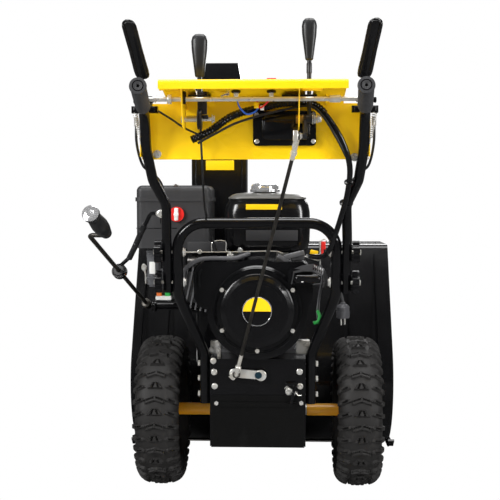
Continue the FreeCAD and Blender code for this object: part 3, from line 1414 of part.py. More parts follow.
def clutch_lever(name, side):
    """A wire-formed arm with a moulded paddle that closes down on the grip."""
    x = bracket_x * side
    arm_points = [(x, pivot_y, pivot_z), (x, pivot_y - 40, pivot_z + 34),
                  ((bracket_x - 8) * side, pivot_y - 98, paddle_z - 78), ((bracket_x + 4) * side, pivot_y - 178, paddle_z)]
    arm = tube(f"{name}_arm", arm_points, 4.5, 40)
    hub = rod(f"{name}_hub", 9, 22, (x - 11, pivot_y, pivot_z), "X")
    tail = tube(f"{name}_tail", [(x, pivot_y, pivot_z), (x, pivot_y + 30, pivot_z - 4)], 4, 10)
    top, low = Vector(*map(float, arm_points[3])), Vector(*map(float, arm_points[2]))
    way = (top - low).normalize()
    paddle = box(f"{name}_paddle", (s.paddle_width, s.paddle_thickness, (top - low).Length + 14),
                 tuple((top + low) / 2), FreeCAD.Rotation(Vector(0, 0, 1), way))
    paddle = rounded(f"{name}_paddle_soft", paddle, 4, lambda edge: edge.Length > 40)
    bore = rod(f"{name}_bore", s.lever_pin + s.running_fit, 40, (x - 20, pivot_y, pivot_z), "X")
    return cut(f"{name}_bored", join(f"{name}_solid", [arm, hub, tail, paddle]), bore)


rib_x = [-145, 90]
lever_x = [-112, 112]
lever_z = s.panel_top - 69
lamp_x, lamp_z = 62, 882
bracket_x = as_size(226)
pivot_y = panel_y - 45
pivot_z = s.panel_top - 30
paddle_z = pivot_z + s.paddle_rise
node("control_panel", control_panel())
node("lever_brackets", pair("lever_bracket_pair", lever_bracket()))
for hand, side in (("left", -1), ("right", 1)):
    name = f"clutch_lever_{hand}"
    node(name, clutch_lever(name, side))

# ---------------------------------------------------------------- gear and deflector levers
link_y, link_z = lever_y - 35, lever_z - 37
pin_clear = s.lever_pin + s.running_fit


def gear_lever():
    """The speed lever, cranked at its pivot so that it lifts and lowers the shift rod."""
    x = lever_x[1]
    knob = rounded("gear_knob_soft", box("gear_knob", (31, 26, 84), (x, lever_y, lever_z + 162)), 9,
                   lambda edge: True)
    stem = rod("gear_stem", 4.5, 124, (x, lever_y, lever_z), "Z")
    hub = rod("gear_hub", 9, 24, (x - 12, lever_y, lever_z), "X")
    arm = tube("gear_arm", [(x - 9, lever_y, lever_z), (x - 9, link_y, link_z)], 4.5, 1)
    boss = rod("gear_arm_boss", 7, 8, (x - 13, link_y, link_z), "X")
    stud = rod("gear_stud", s.link_pin, 18, (x - 29, link_y, link_z), "X")
    bore = rod("gear_bore", pin_clear, 40, (x - 20, lever_y, lever_z), "X")
    return cut("gear_lever_bored", join("gear_lever_solid", [knob, stem, hub, arm, boss, stud]), bore)


def deflector_lever():
    """The lever that pulls the deflector's cable, with its round cable drum."""
    x = lever_x[0]
    knob = rounded("deflector_knob_soft", box("deflector_knob", (35, 27, 86), (x, lever_y, lever_z + 130)), 10,
                   lambda edge: True)
    stem = box("deflector_stem", (9, 14, 94), (x, lever_y, lever_z + 47))
    drum = rod("deflector_drum", 21, 9, (x - 4.5, lever_y, lever_z), "X")
    bore = rod("deflector_bore", pin_clear, 40, (x - 20, lever_y, lever_z), "X")
    return cut("deflector_lever_bored", join("deflector_lever_solid", [knob, stem, drum]), bore)


def lever_pins():
    """Pivot bolts of the two levers, held in the panel's ribs."""
    found = []
    for index, (rib, lever) in enumerate(zip(rib_x, lever_x)):
        length = lever - rib + 24
        found.append(bolt(f"lever_pin_{index}", s.lever_pin, length, (rib, lever_y, lever_z), "X"))
    return found


node("speed_lever", gear_lever())
node("deflector_lever", deflector_lever())


def shift_rod():
    """The long rod from the gear lever's stud to the arm behind the frame, with an eye at each end."""
    top = Vector(float(lever_x[1]) - 23, float(link_y), float(link_z))
    low = Vector(float(shift_end_x), float(shift_pin_y) - 9, float(shift_end_z))
    way = (top - low).normalize()
    high_eye = ring("shift_high_eye", 8, s.link_pin + s.running_fit, 6, (top.x - 3, link_y, link_z), "X")
    low_eye = ring("shift_low_eye", 9, s.shift_stud_radius + s.linkage_play, 5,
                   (low.x, low.y - 2.5, low.z), "Y")
    bar = tube("shift_bar", [tuple(low + way * 8.5), tuple(top - way * 7.5)], 4, 1)
    return join("shift_rod_whole", [high_eye, low_eye, bar])


node("shift_rod", shift_rod())


def headlight():
    """The lamp: a bezel behind the panel wall and a lens housing ahead of it."""
    bezel = rounded("lamp_bezel", box("lamp_bezel_block", (s.lamp_width, 12, s.lamp_height),
                    (lamp_x, panel_y - 6, lamp_z)), 8, FORWARD)
    back = rounded("lamp_back", box("lamp_back_block", (s.lamp_width - 34, 12, s.lamp_height - 26),
                   (lamp_x, panel_y - 15, lamp_z)), 7, FORWARD)
    case = rounded("lamp_case", box("lamp_case_block", (s.lamp_width - 22, s.lamp_depth, s.lamp_height - 18),
                   (lamp_x, panel_y + s.lamp_depth / 2, lamp_z)), 10, FORWARD)
    return join("headlight_whole", [bezel, back, case])


node("headlight", headlight())

# ---------------------------------------------------------------- chute
chute_low = s.chute_ring_z + s.contact_gap
chute_back = s.chute_y - s.chute_depth / 2
chute_front = s.chute_y + s.chute_depth / 2
hinge_y = chute_back + 16
hinge_z = s.chute_top + 4


def channel(width, back, front, sheet):
    """Plan of a channel that is open at the front."""
    half = width / 2
    return [(-half, back), (half, back), (half, front), (half - sheet, front), (half - sheet, back + sheet),
            (-half + sheet, back + sheet), (-half + sheet, front), (-half, front)]


def chute():
    """The turning chute: toothed ring, short collar and a tall channel open to the front."""
    sheet = s.chute_sheet
    base = ring("chute_ring", s.chute_ring_radius, s.outlet_radius - sheet, 6,
                (s.chute_x, s.chute_y, chute_low), "Z")
    teeth = []
    for index in range(44):
        angle = math.tau * index / 44
        turn = FreeCAD.Rotation(Vector(0, 0, 1), math.degrees(angle))
        reach = s.chute_ring_radius
        teeth.append(box(f"chute_tooth_gap_{index}", (9, 5.5, 20),
                         (s.chute_x + reach * math.cos(angle), s.chute_y + reach * math.sin(angle),
                          chute_low + 3), turn))
    toothed = cut("chute_ring_toothed", base, *teeth)
    floor_z = chute_low + s.chute_neck
    neck = ring("chute_neck_ring", s.outlet_radius + 7, s.outlet_radius - sheet, s.chute_neck,
                (s.chute_x, s.chute_y, chute_low), "Z")
    floor = cut("chute_floor_holed", join("chute_floor_whole", [
        box("chute_floor", (s.chute_width, s.chute_depth, sheet), (s.chute_x, s.chute_y, floor_z + sheet / 2)),
        rod("chute_floor_disc", s.outlet_radius + 7, sheet, (s.chute_x, s.chute_y, floor_z), "Z")]),
        rod("chute_floor_hole", s.chute_throat, 30, (s.chute_x, s.chute_y, floor_z - 15), "Z"))
    plan = channel(s.chute_width, -s.chute_depth / 2, s.chute_depth / 2, sheet)
    back = plate("chute_channel", plan, s.chute_top - floor_z, (s.chute_x, s.chute_y, floor_z), "Z")
    front_height = 130
    front = box("chute_apron", (s.chute_width, sheet, front_height),
                (s.chute_x, chute_front - sheet / 2, floor_z + front_height / 2))
    ears = []
    for side in (-1, 1):
        x = s.chute_x + (s.chute_width / 2 - sheet / 2) * side
        ears.append(box(f"chute_ear_{side + 1}", (sheet, 20, 24), (x, hinge_y, hinge_z)))
    pins = [rod(f"chute_hinge_pin_{side + 1}", s.hinge_pin, 8,
                (s.chute_x + (s.chute_width / 2 - 2) * side, hinge_y, hinge_z),
                TURNS["X"] if side > 0 else TURNS["X"].multiply(FreeCAD.Rotation(Vector(1, 0, 0), 180)))
            for side in (-1, 1)]
    return join("chute_whole", [toothed, neck, floor, back, front] + ears + pins)


def deflector():
    """The hood on top of the chute, narrowing upwards and leaning forward."""
    sheet = s.chute_sheet
    gap = s.contact_gap + 0.4
    wide = s.chute_width + 2 * (gap + sheet)
    rows = []
    for z, width, back, front in (
            (hinge_z - 24, wide, chute_back - gap - sheet, chute_front - 20),
            (hinge_z + 22, wide, chute_back - gap - sheet, chute_front - 6),
            (hinge_z + 88, wide, chute_back - gap - sheet, chute_front + 2),
            (hinge_z + 140, s.chute_width - 14, chute_back + 6, chute_front + 8),
            (s.deflector_top, s.deflector_mouth, chute_back + 34, chute_front + 4)):
        points = [Vector(float(s.chute_x) + float(x), float(y), float(z))
                  for x, y in channel(width, back, front, sheet)]
        rows.append(Part.makePolygon(points + points[:1]))
    hood = shaped("deflector_hood", Part.makeLoft(rows, True, True))
    bore = rod("deflector_hinge_hole", s.hinge_pin + s.running_fit, s.chute_width + 60,
               (s.chute_x - s.chute_width / 2 - 30, hinge_y, hinge_z), "X")
    return cut("deflector_cut", hood, bore)


node("chute", chute())
node("deflector", deflector())

# ---------------------------------------------------------------- chute crank
worm_y = s.chute_y - s.chute_ring_radius - s.worm_radius - s.contact_gap
worm_z = chute_low + 3
joint_x = -300
joint_point = Vector(joint_x, float(worm_y), float(worm_z))
bend_point = Vector(-358, -400, 657)
arm_point = Vector(-316, -406, 657)
crank_way = (bend_point - joint_point).normalize()
CRANK_TURN = FreeCAD.Rotation(Vector(0, 0, 1), crank_way)
eye_point = joint_point + (bend_point - joint_point) * 0.54


def chute_worm():
    """The short cross shaft with the worm that turns the chute's ring."""
    ends = [rod("worm_shaft", s.crank_rod_radius, s.chute_x + 26 - joint_x, (joint_x, worm_y, worm_z), "X"),
            rod("worm_thread", s.worm_radius, 34, (s.chute_x - 17, worm_y, worm_z), "X"),
            ball("worm_joint_ball", 8, (joint_x, worm_y, worm_z))]
    return join("chute_worm_whole", ends)


def crank_rod():
    """The operator's crank: long rod, offset arm and the pin that its grip turns on."""
    start = joint_point + crank_way * 8.3
    bar = tube("crank_bar", [tuple(start), tuple(bend_point), tuple(arm_point),
                             tuple(arm_point + crank_way * 10)], s.crank_rod_radius, 12)
    pin = rod("crank_grip_pin", 4, s.crank_grip_length + 6, tuple(arm_point), CRANK_TURN)
    cup = rod("crank_joint_cup", 9, 14, tuple(start), CRANK_TURN)
    return join("crank_rod_whole", [bar, pin, cup])


def crank_grip():
    """The long oval grip, free to spin, with a bright cap on its end."""
    length = s.crank_grip_length
    bore = 4 + s.running_fit
    outline = [(bore, 0), (12, 0), (17, length * 0.28), (18, length * 0.45), (15, length * 0.8),
               (13, length - 14), (16, length - 12), (18, length - 6), (16, length), (0, length),
               (0, length - 3), (bore, length - 3)]
    item = lathe("crank_grip_turned", outline, (0, 0, 0), "Y")
    start = arm_point + crank_way * 10.5
    return place(item, tuple(start), FreeCAD.Rotation(Vector(0, 1, 0), crank_way))


def crank_bracket():
    """The worm's bearing tube with its two ears, and the eye that steadies the crank."""
    sleeve_start = joint_x + 12
    sleeve_end = s.chute_x - 34
    sleeve = rod("worm_sleeve", s.crank_rod_radius + 4, sleeve_end - sleeve_start,
                 (sleeve_start, worm_y, worm_z), "X")
    boss = rod("worm_boss", 15, 10, (sleeve_start, worm_y, worm_z), "X")
    foot = box("worm_foot", (40, 30, 4), (sleeve_end - 20, worm_y + 12, s.chute_ring_z - 12))
    web = box("worm_web", (4, 18, 18), (sleeve_end - 8, worm_y, s.chute_ring_z - 6))
    bore = rod("worm_sleeve_bore", s.crank_rod_radius + s.running_fit, 400, (sleeve_start - 20, worm_y, worm_z), "X")
    lower = cut("worm_bracket", join("worm_bracket_solid", [sleeve, boss, foot, web]), bore)
    route = [(eye_point.x + 2, eye_point.y + 2, eye_point.z + 14), (-306, -182, 596),
             (-243, -270, 702), (-206, -317.5, 702)]
    arm = tube("eye_arm", route, 4.5, 30)
    eye = rod("eye_grommet", 18, 12, tuple(eye_point - crank_way * 6), CRANK_TURN)
    hole = rod("eye_hole", s.crank_rod_radius + s.running_fit, 60, tuple(eye_point - crank_way * 30), CRANK_TURN)
    tube_room = tube("eye_tube_room", [(-x, y, z) for x, y, z in TUBE_POINTS], handle_r + 0.3, 70)
    upper = cut("eye_bracket", join("eye_bracket_solid", [arm, eye]), hole, tube_room)
    return group("crank_bracket_pair", [lower, upper])


node("chute_worm", chute_worm())
node("crank_rod", crank_rod())
node("crank_grip", crank_grip())
node("crank_bracket", crank_bracket())

# ---------------------------------------------------------------- cables, lead and plug
CABLE_ROUTES = {
    "conduit": (8.5, [(-131, -440, 858), (-92, -445, 876), (-46, -450, 906), (8, -446, 922), (66, -446, 933),
                      (120, -444, 930), (150, -443, 900), (180, -440, 850), (190, -420, 800),
                      (186, -374, 745), (170, -328, 692), (156, -308, 650), (146, -286, 618),
                      (136, -240, 602), (122, -196, 602)]),
    "clutch_cable_left": (3, [(-247, -446, 905), (-247, -440, 850), (-240, -402, 806), (-222, -376, 790),
                              (-206, -340, 760), (-206, -292, 690), (-194, -246, 600), (-180, -232, 520), (-150, -190, 440),
                              (-138, -146, 385), (-118, -112, 340), (-117.8, -104, 300)]),
    "clutch_cable_right": (3, [(247, -446, 905), (247, -440, 850), (240, -402, 806), (222, -376, 790),
                               (206, -340, 760), (206, -292, 690), (194, -246, 600), (180, -232, 520), (150, -190, 440),
                               (138, -146, 385), (118, -112, 340), (117.8, -104, 300)]),
    "chute_cable": (2.5, [(-112, -445.2, 916), (-112, -445.2, 866), (-110, -428, 790), (-114, -350, 735),
                          (-116, -270, 700), (-108, -196, 646), (-94, -160, 600), (-84, -120, 591)]),
}
node("control_cables", group("control_cable_set", [
    tube(f"{name}_tube", points, radius, 400) for name, (radius, points) in CABLE_ROUTES.items()]))

LEAD_POINTS = [(131.4, -150, 526), (150, -150, 530), (170, -157, 531), (188, -172, 525), (199, -186, 510),
               (202, -190, 491)]
plug_top = LEAD_POINTS[-1]


def mains_plug():
    """A moulded two-pin plug that hangs on its lead."""
    x, y, z = plug_top
    quarter = FreeCAD.Rotation(Vector(0, 0, 1), 45)
    body = rounded("plug_soft", box("plug_block", (26, 20, 32), (x, y, z - 22), quarter), 6, UPRIGHT)
    neck = cone("plug_neck", 7, 4.5, 6, (x, y, z - 7), "Z")
    pins = [rod(f"plug_pin_{index}", 2, 17, (x + shift, y + shift, z - 54), "Z")
            for index, shift in enumerate((-4.49, 4.49))]
    return join("mains_plug_whole", [body, neck] + pins)


node("mains_lead", tube("mains_lead_tube", LEAD_POINTS, 3.5, 400))
node("mains_plug", mains_plug())

node("bolts", group("bolt_set", housing_bolts() + recoil_bolts() + handle_bolts() + lever_pins()))


# ---------------------------------------------------------------- check and write
def write_nodes():
    """Stop on any failed object, then write each piece to its own file."""
    doc.recompute()
    for item in doc.Objects:
        if "Invalid" in item.State or "Error" in item.State:
            raise RuntimeError(f"{item.Name} failed: {item.State}")
    os.makedirs("parts", exist_ok=True)
    for item in nodes:
        if item.Shape.isNull() or not item.Shape.isValid():
            raise RuntimeError(f"{item.Label} has no valid shape")
        item.Shape.exportStep(f"parts/{item.Label}.step")


write_nodes()
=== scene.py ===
import math

import bmesh
import bpy
import numpy as np
from mathutils import Matrix, Vector


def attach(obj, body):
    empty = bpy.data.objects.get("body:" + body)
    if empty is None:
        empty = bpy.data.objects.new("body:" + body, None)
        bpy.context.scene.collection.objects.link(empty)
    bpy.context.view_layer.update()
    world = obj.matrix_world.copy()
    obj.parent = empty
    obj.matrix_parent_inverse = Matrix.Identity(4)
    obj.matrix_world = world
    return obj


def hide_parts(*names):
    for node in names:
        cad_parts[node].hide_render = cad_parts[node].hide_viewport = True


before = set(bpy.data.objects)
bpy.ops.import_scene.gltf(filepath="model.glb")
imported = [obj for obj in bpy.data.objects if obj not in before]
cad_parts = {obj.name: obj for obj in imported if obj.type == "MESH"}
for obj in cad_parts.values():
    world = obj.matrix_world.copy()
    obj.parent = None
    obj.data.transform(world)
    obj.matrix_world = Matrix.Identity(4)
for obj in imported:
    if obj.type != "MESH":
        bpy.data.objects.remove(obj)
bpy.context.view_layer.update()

# ---------------------------------------------------------------- camera, light and floor
# The camera stands behind the operator's place, a little to the right, and looks slightly down.
# Four soft boxes in a pale room light the machine, as in a small product studio.
LENS_MM, LOOKS_DOWN, LOOKS_LEFT = 66.2, 3.1, 1.96
view_scene = bpy.context.scene
view_scene.view_settings.view_transform = "Standard"
lens = bpy.data.cameras.new("camera")
lens.sensor_width = 36
lens.lens = LENS_MM
camera = bpy.data.objects.new("camera", lens)
view_scene.collection.objects.link(camera)
camera.location = (0.056, -2.364, 0.732)
camera.rotation_euler = (math.radians(90 - LOOKS_DOWN), 0, math.radians(LOOKS_LEFT))
view_scene.camera = camera


def soft_box(name, place, target, size, power):
    """A rectangular lamp of a size in metres and a power in watts, turned to face a target."""
    lamp = bpy.data.lights.new(name, "AREA")
    lamp.shape, lamp.size, lamp.size_y = "RECTANGLE", size[0], size[1]
    lamp.energy = power
    holder = bpy.data.objects.new(name, lamp)
    view_scene.collection.objects.link(holder)
    holder.location = place
    away = np.array(place) - np.array(target)
    flat = math.hypot(away[0], away[1])
    holder.rotation_euler = (math.atan2(flat, away[2]), 0, math.atan2(away[0], -away[1]))


soft_box("soft_box_left", (-2.1, -2.4, 1.9), (0, 0, 0.6), (0.7, 1.5), 82)
soft_box("soft_box_right", (2.3, -1.9, 1.5), (0, 0, 0.6), (0.6, 1.5), 56)
soft_box("soft_box_top", (0, -0.4, 3.0), (0, 0, 0.5), (2.0, 1.4), 56)
soft_box("soft_box_front", (0.6, 3.0, 2.0), (0, 0, 0.6), (1.6, 1.6), 46)


def feed(node, inputs):
    """A node with its sockets set to plain values, or linked to the sockets that feed them."""
    for socket, value in inputs.items():
        if isinstance(value, bpy.types.NodeSocket):
            node.id_data.links.new(value, node.inputs[socket])
        else:
            node.inputs[socket].default_value = value
    return node


def add(tree, kind, inputs, **settings):
    """A new shader node of a kind, with its settings and what feeds it."""
    node = tree.nodes.new("ShaderNode" + kind)
    for word, value in settings.items():
        setattr(node, word, value)
    return feed(node, inputs)


def blend(tree, share, first, second):
    """Two shaders blended by the share of the second."""
    return add(tree, "MixShader", {0: share, 1: first.outputs[0], 2: second.outputs[0]})


ROOM_LIGHT, ROOM_IN_GLOSS = 0.34, 0.07
room = bpy.data.worlds.new("room")
view_scene.world = room
room.use_nodes = True
tree = room.node_tree
tree.nodes.clear()
ray = add(tree, "LightPath", {}).outputs
in_view = add(tree, "Math", {0: ray["Is Camera Ray"], 1: ray["Is Transmission Ray"]}, operation="ADD",
              use_clamp=True).outputs[0]
strength = add(tree, "Math", {0: ray["Is Glossy Ray"], 1: ROOM_IN_GLOSS - ROOM_LIGHT, 2: ROOM_LIGHT},
               operation="MULTIPLY_ADD").outputs[0]
walls = add(tree, "Background", {"Color": (1, 1, 1, 1), "Strength": strength})
backdrop = add(tree, "Background", {"Color": (1, 1, 1, 1), "Strength": 1})
add(tree, "OutputWorld", {0: blend(tree, in_view, walls, backdrop).outputs[0]})


def gather(name, grids, angle=38, capped=True, ringed=True, looped=False):
    """One mesh from several grids of points, each n rings of m points joined by quads.

    ringed closes each ring on itself, looped joins the last ring to the first, and
    capped shuts the first and last ring with a flat face, so the shell is closed.
    """
    points, faces, start = [], [], 0
    for grid in grids:
        rings, sides = grid.shape[:2]
        index = start + np.arange(rings * sides).reshape(rings, sides)
        near, far = (index, np.roll(index, -1, 0)) if looped else (index[:-1], index[1:])
        if ringed:
            corners = [near, np.roll(near, -1, 1), np.roll(far, -1, 1), far]
        else:
            corners = [near[:, :-1], near[:, 1:], far[:, 1:], far[:, :-1]]
        faces += np.stack(corners, -1).reshape(-1, 4).tolist()
        if capped and ringed and not looped:
            faces += [index[0, ::-1].tolist(), index[-1].tolist()]
        points.append(grid.reshape(-1, 3))
        start += rings * sides
    mesh = bpy.data.meshes.new(name)
    mesh.from_pydata(np.concatenate(points).tolist(), [], faces)
    mesh.validate()
    shell = bmesh.new()
    shell.from_mesh(mesh)
    bmesh.ops.recalc_face_normals(shell, faces=shell.faces)
    shell.to_mesh(mesh)
    shell.free()
    mesh.shade_smooth()
    mesh.set_sharp_from_angle(angle=math.radians(angle))
    piece = bpy.data.objects.new(name, mesh)
    view_scene.collection.objects.link(piece)
    return piece


FLOOR_REACH, FLOOR_DROP = 14, 0.0006
floor_grid = np.array([[[-1, -1, 0], [1, -1, 0]], [[-1, 1, 0], [1, 1, 0]]], float) * FLOOR_REACH
floor = gather("floor", [floor_grid - (0, 0, FLOOR_DROP)], ringed=False)
pale = bpy.data.materials.new("pale_floor")
pale.use_nodes = True
tree = pale.node_tree
ray = add(tree, "LightPath", {}).outputs
matt = feed(tree.nodes["Principled BSDF"], {"Base Color": (0.86, 0.86, 0.86, 1), "Roughness": 0.9,
                                            "Specular IOR Level": 0.1})
seen = blend(tree, ray["Is Camera Ray"], matt, add(tree, "Emission", {"Strength": 1}))
dull = add(tree, "BsdfDiffuse", {"Color": (0.10, 0.10, 0.10, 1)})
shaded = blend(tree, ray["Is Glossy Ray"], seen, dull)
feed(tree.nodes["Material Output"], {0: shaded.outputs[0]})
floor.data.materials.append(pale)

# ---------------------------------------------------------------- mains lead and plug
# The electric starter's short mains lead hangs out of the cowl's side, in black rubber.
# Its two-pin plug is moulded on, ribbed for the fingers, with bright pressed pins.


def times(tree, first, second):
    """Two values multiplied."""
    return add(tree, "Math", {0: first, 1: second}, operation="MULTIPLY").outputs[0]


def between(tree, value, low, high, into_low=0.0, into_high=1.0):
    """A value mapped from one span to another, held at the ends."""
    return add(tree, "MapRange", {"Value": value, "From Min": low, "From Max": high,
                                  "To Min": into_low, "To Max": into_high}).outputs["Result"]


def noise(tree, entry, scale, detail, rough=0.55, stretch=None):
    """Noise on object coordinates, its scale times the finish's own."""
    place = add(tree, "TexCoord", {}).outputs["Object"]
    if stretch:
        place = add(tree, "Mapping", {"Vector": place, "Scale": stretch}).outputs[0]
    return add(tree, "TexNoise", {"Vector": place, "Scale": times(tree, entry["Scale"], scale),
                                  "Detail": detail, "Roughness": rough}).outputs["Fac"]


def skin_group(name, build):
    """A shader node group with a colour, a roughness and a height worked out over the surface.

    build gives the share of the second colour, the cloud that runs from the low roughness
    to the high one, and the height.
    """
    group = bpy.data.node_groups.new(name, "ShaderNodeTree")
    for way, words in (("INPUT", ("Color", "Second", "Scale", "Amount", "Low", "High")),
                       ("OUTPUT", ("Color", "Roughness", "Height"))):
        for word in words:
            kind = "NodeSocketColor" if word in ("Color", "Second") else "NodeSocketFloat"
            group.interface.new_socket(word, in_out=way, socket_type=kind)
    entry = group.nodes.new("NodeGroupInput").outputs
    share, cloud, height = build(group, entry)
    color = add(group, "Mix", {"Factor": share, 6: entry["Color"], 7: entry["Second"]}, data_type="RGBA")
    roughness = between(group, cloud, 0.3, 0.7, entry["Low"], entry["High"])
    feed(group.nodes.new("NodeGroupOutput"), {"Color": color.outputs[2], "Roughness": roughness,
                                              "Height": height})
    return group


def paint_skin(tree, entry):
    """Powder coat: orange peel, faint clouds, pale flecks, and dust where faces look up."""
    cloud = noise(tree, entry, 6, 2)
    peel = noise(tree, entry, 420, 1)
    fleck = between(tree, noise(tree, entry, 900, 2), 0.62, 0.72)
    facing = add(tree, "SeparateXYZ", {0: add(tree, "NewGeometry", {}).outputs["Normal"]})
    up = between(tree, facing.outputs["Z"], 0.1, 1)
    dust = times(tree, up, between(tree, cloud, 0.35, 0.7, 0.25, 1))
    marks = add(tree, "Math", {0: dust, 1: times(tree, fleck, 0.6)}, operation="MAXIMUM")
    return times(tree, marks.outputs[0], entry["Amount"]), cloud, peel


def grain_skin(tree, entry):
    """Moulded plastic or rubber: spark-eroded grain with scuffs and a dusty bloom."""
    scuff = between(tree, noise(tree, entry, 60, 4, 0.7, (1, 1, 0.25)), 0.55, 0.75)
    return times(tree, scuff, entry["Amount"]), noise(tree, entry, 9, 3), noise(tree, entry, 1300, 2)


def metal_skin(tree, entry):
    """Plated or cast metal: blotches of two tones, fine brushing, and duller patches."""
    blotch = between(tree, noise(tree, entry, 45, 4), 0.35, 0.68)
    brush = noise(tree, entry, 700, 2, 0.6, (1, 1, 0.08))
    return times(tree, blotch, entry["Amount"]), noise(tree, entry, 20, 3), brush


PAINT = skin_group("powder_coat", paint_skin)
GRAIN = skin_group("moulded_grain", grain_skin)
METAL = skin_group("plated_metal", metal_skin)


def finish_of(name, skin, color, second, amount=0.2, rough=(0.3, 0.45), scale=1.0, bump=0.1,
              depth=0.0004, metallic=0.0, specular=0.5, coat=0.0):
    """A material whose skin group feeds the colour, roughness and relief of its shader."""
    material = bpy.data.materials.new(name)
    material.use_nodes = True
    tree = material.node_tree
    skinned = add(tree, "Group", {"Color": (*color, 1), "Second": (*second, 1), "Scale": scale,
                                  "Amount": amount, "Low": rough[0], "High": rough[1]},
                  node_tree=skin).outputs
    relief = add(tree, "Bump", {"Strength": bump, "Distance": depth, "Height": skinned["Height"]})
    feed(tree.nodes["Principled BSDF"],
         {"Base Color": skinned["Color"], "Roughness": skinned["Roughness"], "Normal": relief.outputs[0],
          "Metallic": metallic, "Specular IOR Level": specular, "Coat Weight": coat,
          "Coat Roughness": 0.08})
    return material


flex_black = finish_of("flex_rubber", GRAIN, (0.012, 0.012, 0.013), (0.06, 0.06, 0.06), 0.3, (0.4, 0.55),
                       0.6, 0.15)
zinc = finish_of("zinc_plate", METAL, (0.72, 0.72, 0.70), (0.58, 0.50, 0.36), 0.45, (0.2, 0.36), 1, 0.15,
                 metallic=0.6)
plug_grey = finish_of("plug_grey", GRAIN, (0.055, 0.055, 0.060), (0.10, 0.10, 0.10), 0.3, (0.4, 0.55))
LEAD_POINTS = np.array([(131.4, -150, 526), (150, -150, 530), (170, -157, 531), (188, -172, 525),
                        (199, -186, 510), (202, -190, 491)]) / 1000
line = bpy.data.curves.new("mains_lead_line", "CURVE")
line.dimensions = "3D"
spline = line.splines.new("NURBS")
spline.points.add(len(LEAD_POINTS) - 1)
spline.points.foreach_set("co", np.c_[LEAD_POINTS, np.ones(len(LEAD_POINTS))].ravel())
spline.order_u = 3
spline.use_endpoint_u = True
line.bevel_depth = 0.0035
line.bevel_resolution = 4
line.resolution_u = 12
line.use_fill_caps = True
line.materials.append(flex_black)
lead = bpy.data.objects.new("mains_lead_flex", line)
view_scene.collection.objects.link(lead)
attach(lead, "machine")
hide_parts("mains_lead")


def spun(axis, degrees):
    """The turning matrix about an axis."""
    return np.array(Matrix.Rotation(math.radians(degrees), 3, Vector(axis)))


def turned(outline, place, axis=(0, 0, 1), sides=32):
    """Rings round an axis through a place, in mm: the outline gives (radius, way along the axis)."""
    axis = np.array(axis, float) / np.linalg.norm(axis)
    side = np.cross(axis, (0, 1, 0) if abs(axis[1]) < 0.9 else (1, 0, 0))
    side /= np.linalg.norm(side)
    up = np.cross(axis, side)
    turn = np.linspace(0, 2 * np.pi, sides, endpoint=False)[None, :, None]
    r, h = np.array(outline, float).T[:, :, None, None]
    return np.array(place, float) + r * (np.cos(turn) * side + np.sin(turn) * up) + h * axis


def made(name, grids, body, material, slot, *stands_for, **how):
    """One piece from grids in mm, riding on a body; its slot in the record is taken but not used."""
    piece = gather(name, [grid / 1000 for grid in grids], **how)
    piece.data.materials.append(material)
    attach(piece, body)
    if stands_for:
        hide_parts(*stands_for)
    return piece


def plated(name, grids, body="machine"):
    """A piece of zinc-plated steel."""
    return made(name, grids, body, zinc, "zinc_steel")


plug_top = LEAD_POINTS[-1] * 1000
plug_rows = ((0.30, 0.36, -0.5), (0.34, 0.42, -4), (0.62, 0.72, -6), (0.94, 0.95, -10), (1, 1, -13),
             (0.9, 0.97, -13.5), (0.9, 0.97, -16), (1, 1, -16.5), (0.9, 0.97, -19), (0.9, 0.97, -21.5),
             (1, 1, -22), (1, 1, -36), (0.9, 0.9, -38))
turn = np.linspace(0, 2 * np.pi, 40, endpoint=False)
square = np.stack([half * np.sign(wave) * np.abs(wave) ** 0.62
                   for half, wave in ((15, np.cos(turn)), (13, np.sin(turn)))], -1)
plug_grid = np.stack([np.c_[square * (w, d), np.full(40, z)] for w, d, z in plug_rows])
plug = made("plug_moulding", [plug_grid @ spun((0, 0, 1), 45).T + plug_top], "machine", plug_grey,
            "black_plastic", "mains_plug")
PIN_SHIFT = 4.49
plug_pins = plated("plug_pins", [turned([(1.9, 0), (1.9, -15.5), (1.2, -16.9)],
                                        plug_top + (shift, shift, -37.5), sides=16)
                                 for shift in (-PIN_SHIFT, PIN_SHIFT)])

# ---------------------------------------------------------------- tyres
# Snow tyres: a round carcass with chevrons, trapezoids and skewed shoulder blocks, slit by
# narrow sipes. Rows of chevrons and trapezoids take turns round the tread.
rubber = finish_of("tyre_rubber", GRAIN, (0.017, 0.016, 0.0155), (0.06, 0.055, 0.05), 0.35, (0.5, 0.7), 1,
                   0.2, specular=0.3)
WHEEL_X, AXLE_Z, TYRE_RADIUS, LUG_HEIGHT, ROWS = 249.5, 190, 190, 7, 36
PITCH = 2 * np.pi * TYRE_RADIUS / ROWS
LUG_SLOPE, TREAD_HALF, TREAD_FADE, OFF_TREAD = 1.3, 72, 12, 400


def inside(x, v, corners):
    """How far places lie inside a convex outline whose corners run anticlockwise, in mm."""
    corners = np.array(corners, float)
    edges = np.roll(corners, -1, 0) - corners
    lengths = np.linalg.norm(edges, axis=1)
    return np.min([(ex * (v - cy) - ey * (x - cx)) / length
                   for (cx, cy), (ex, ey), length in zip(corners, edges, lengths)], axis=0)


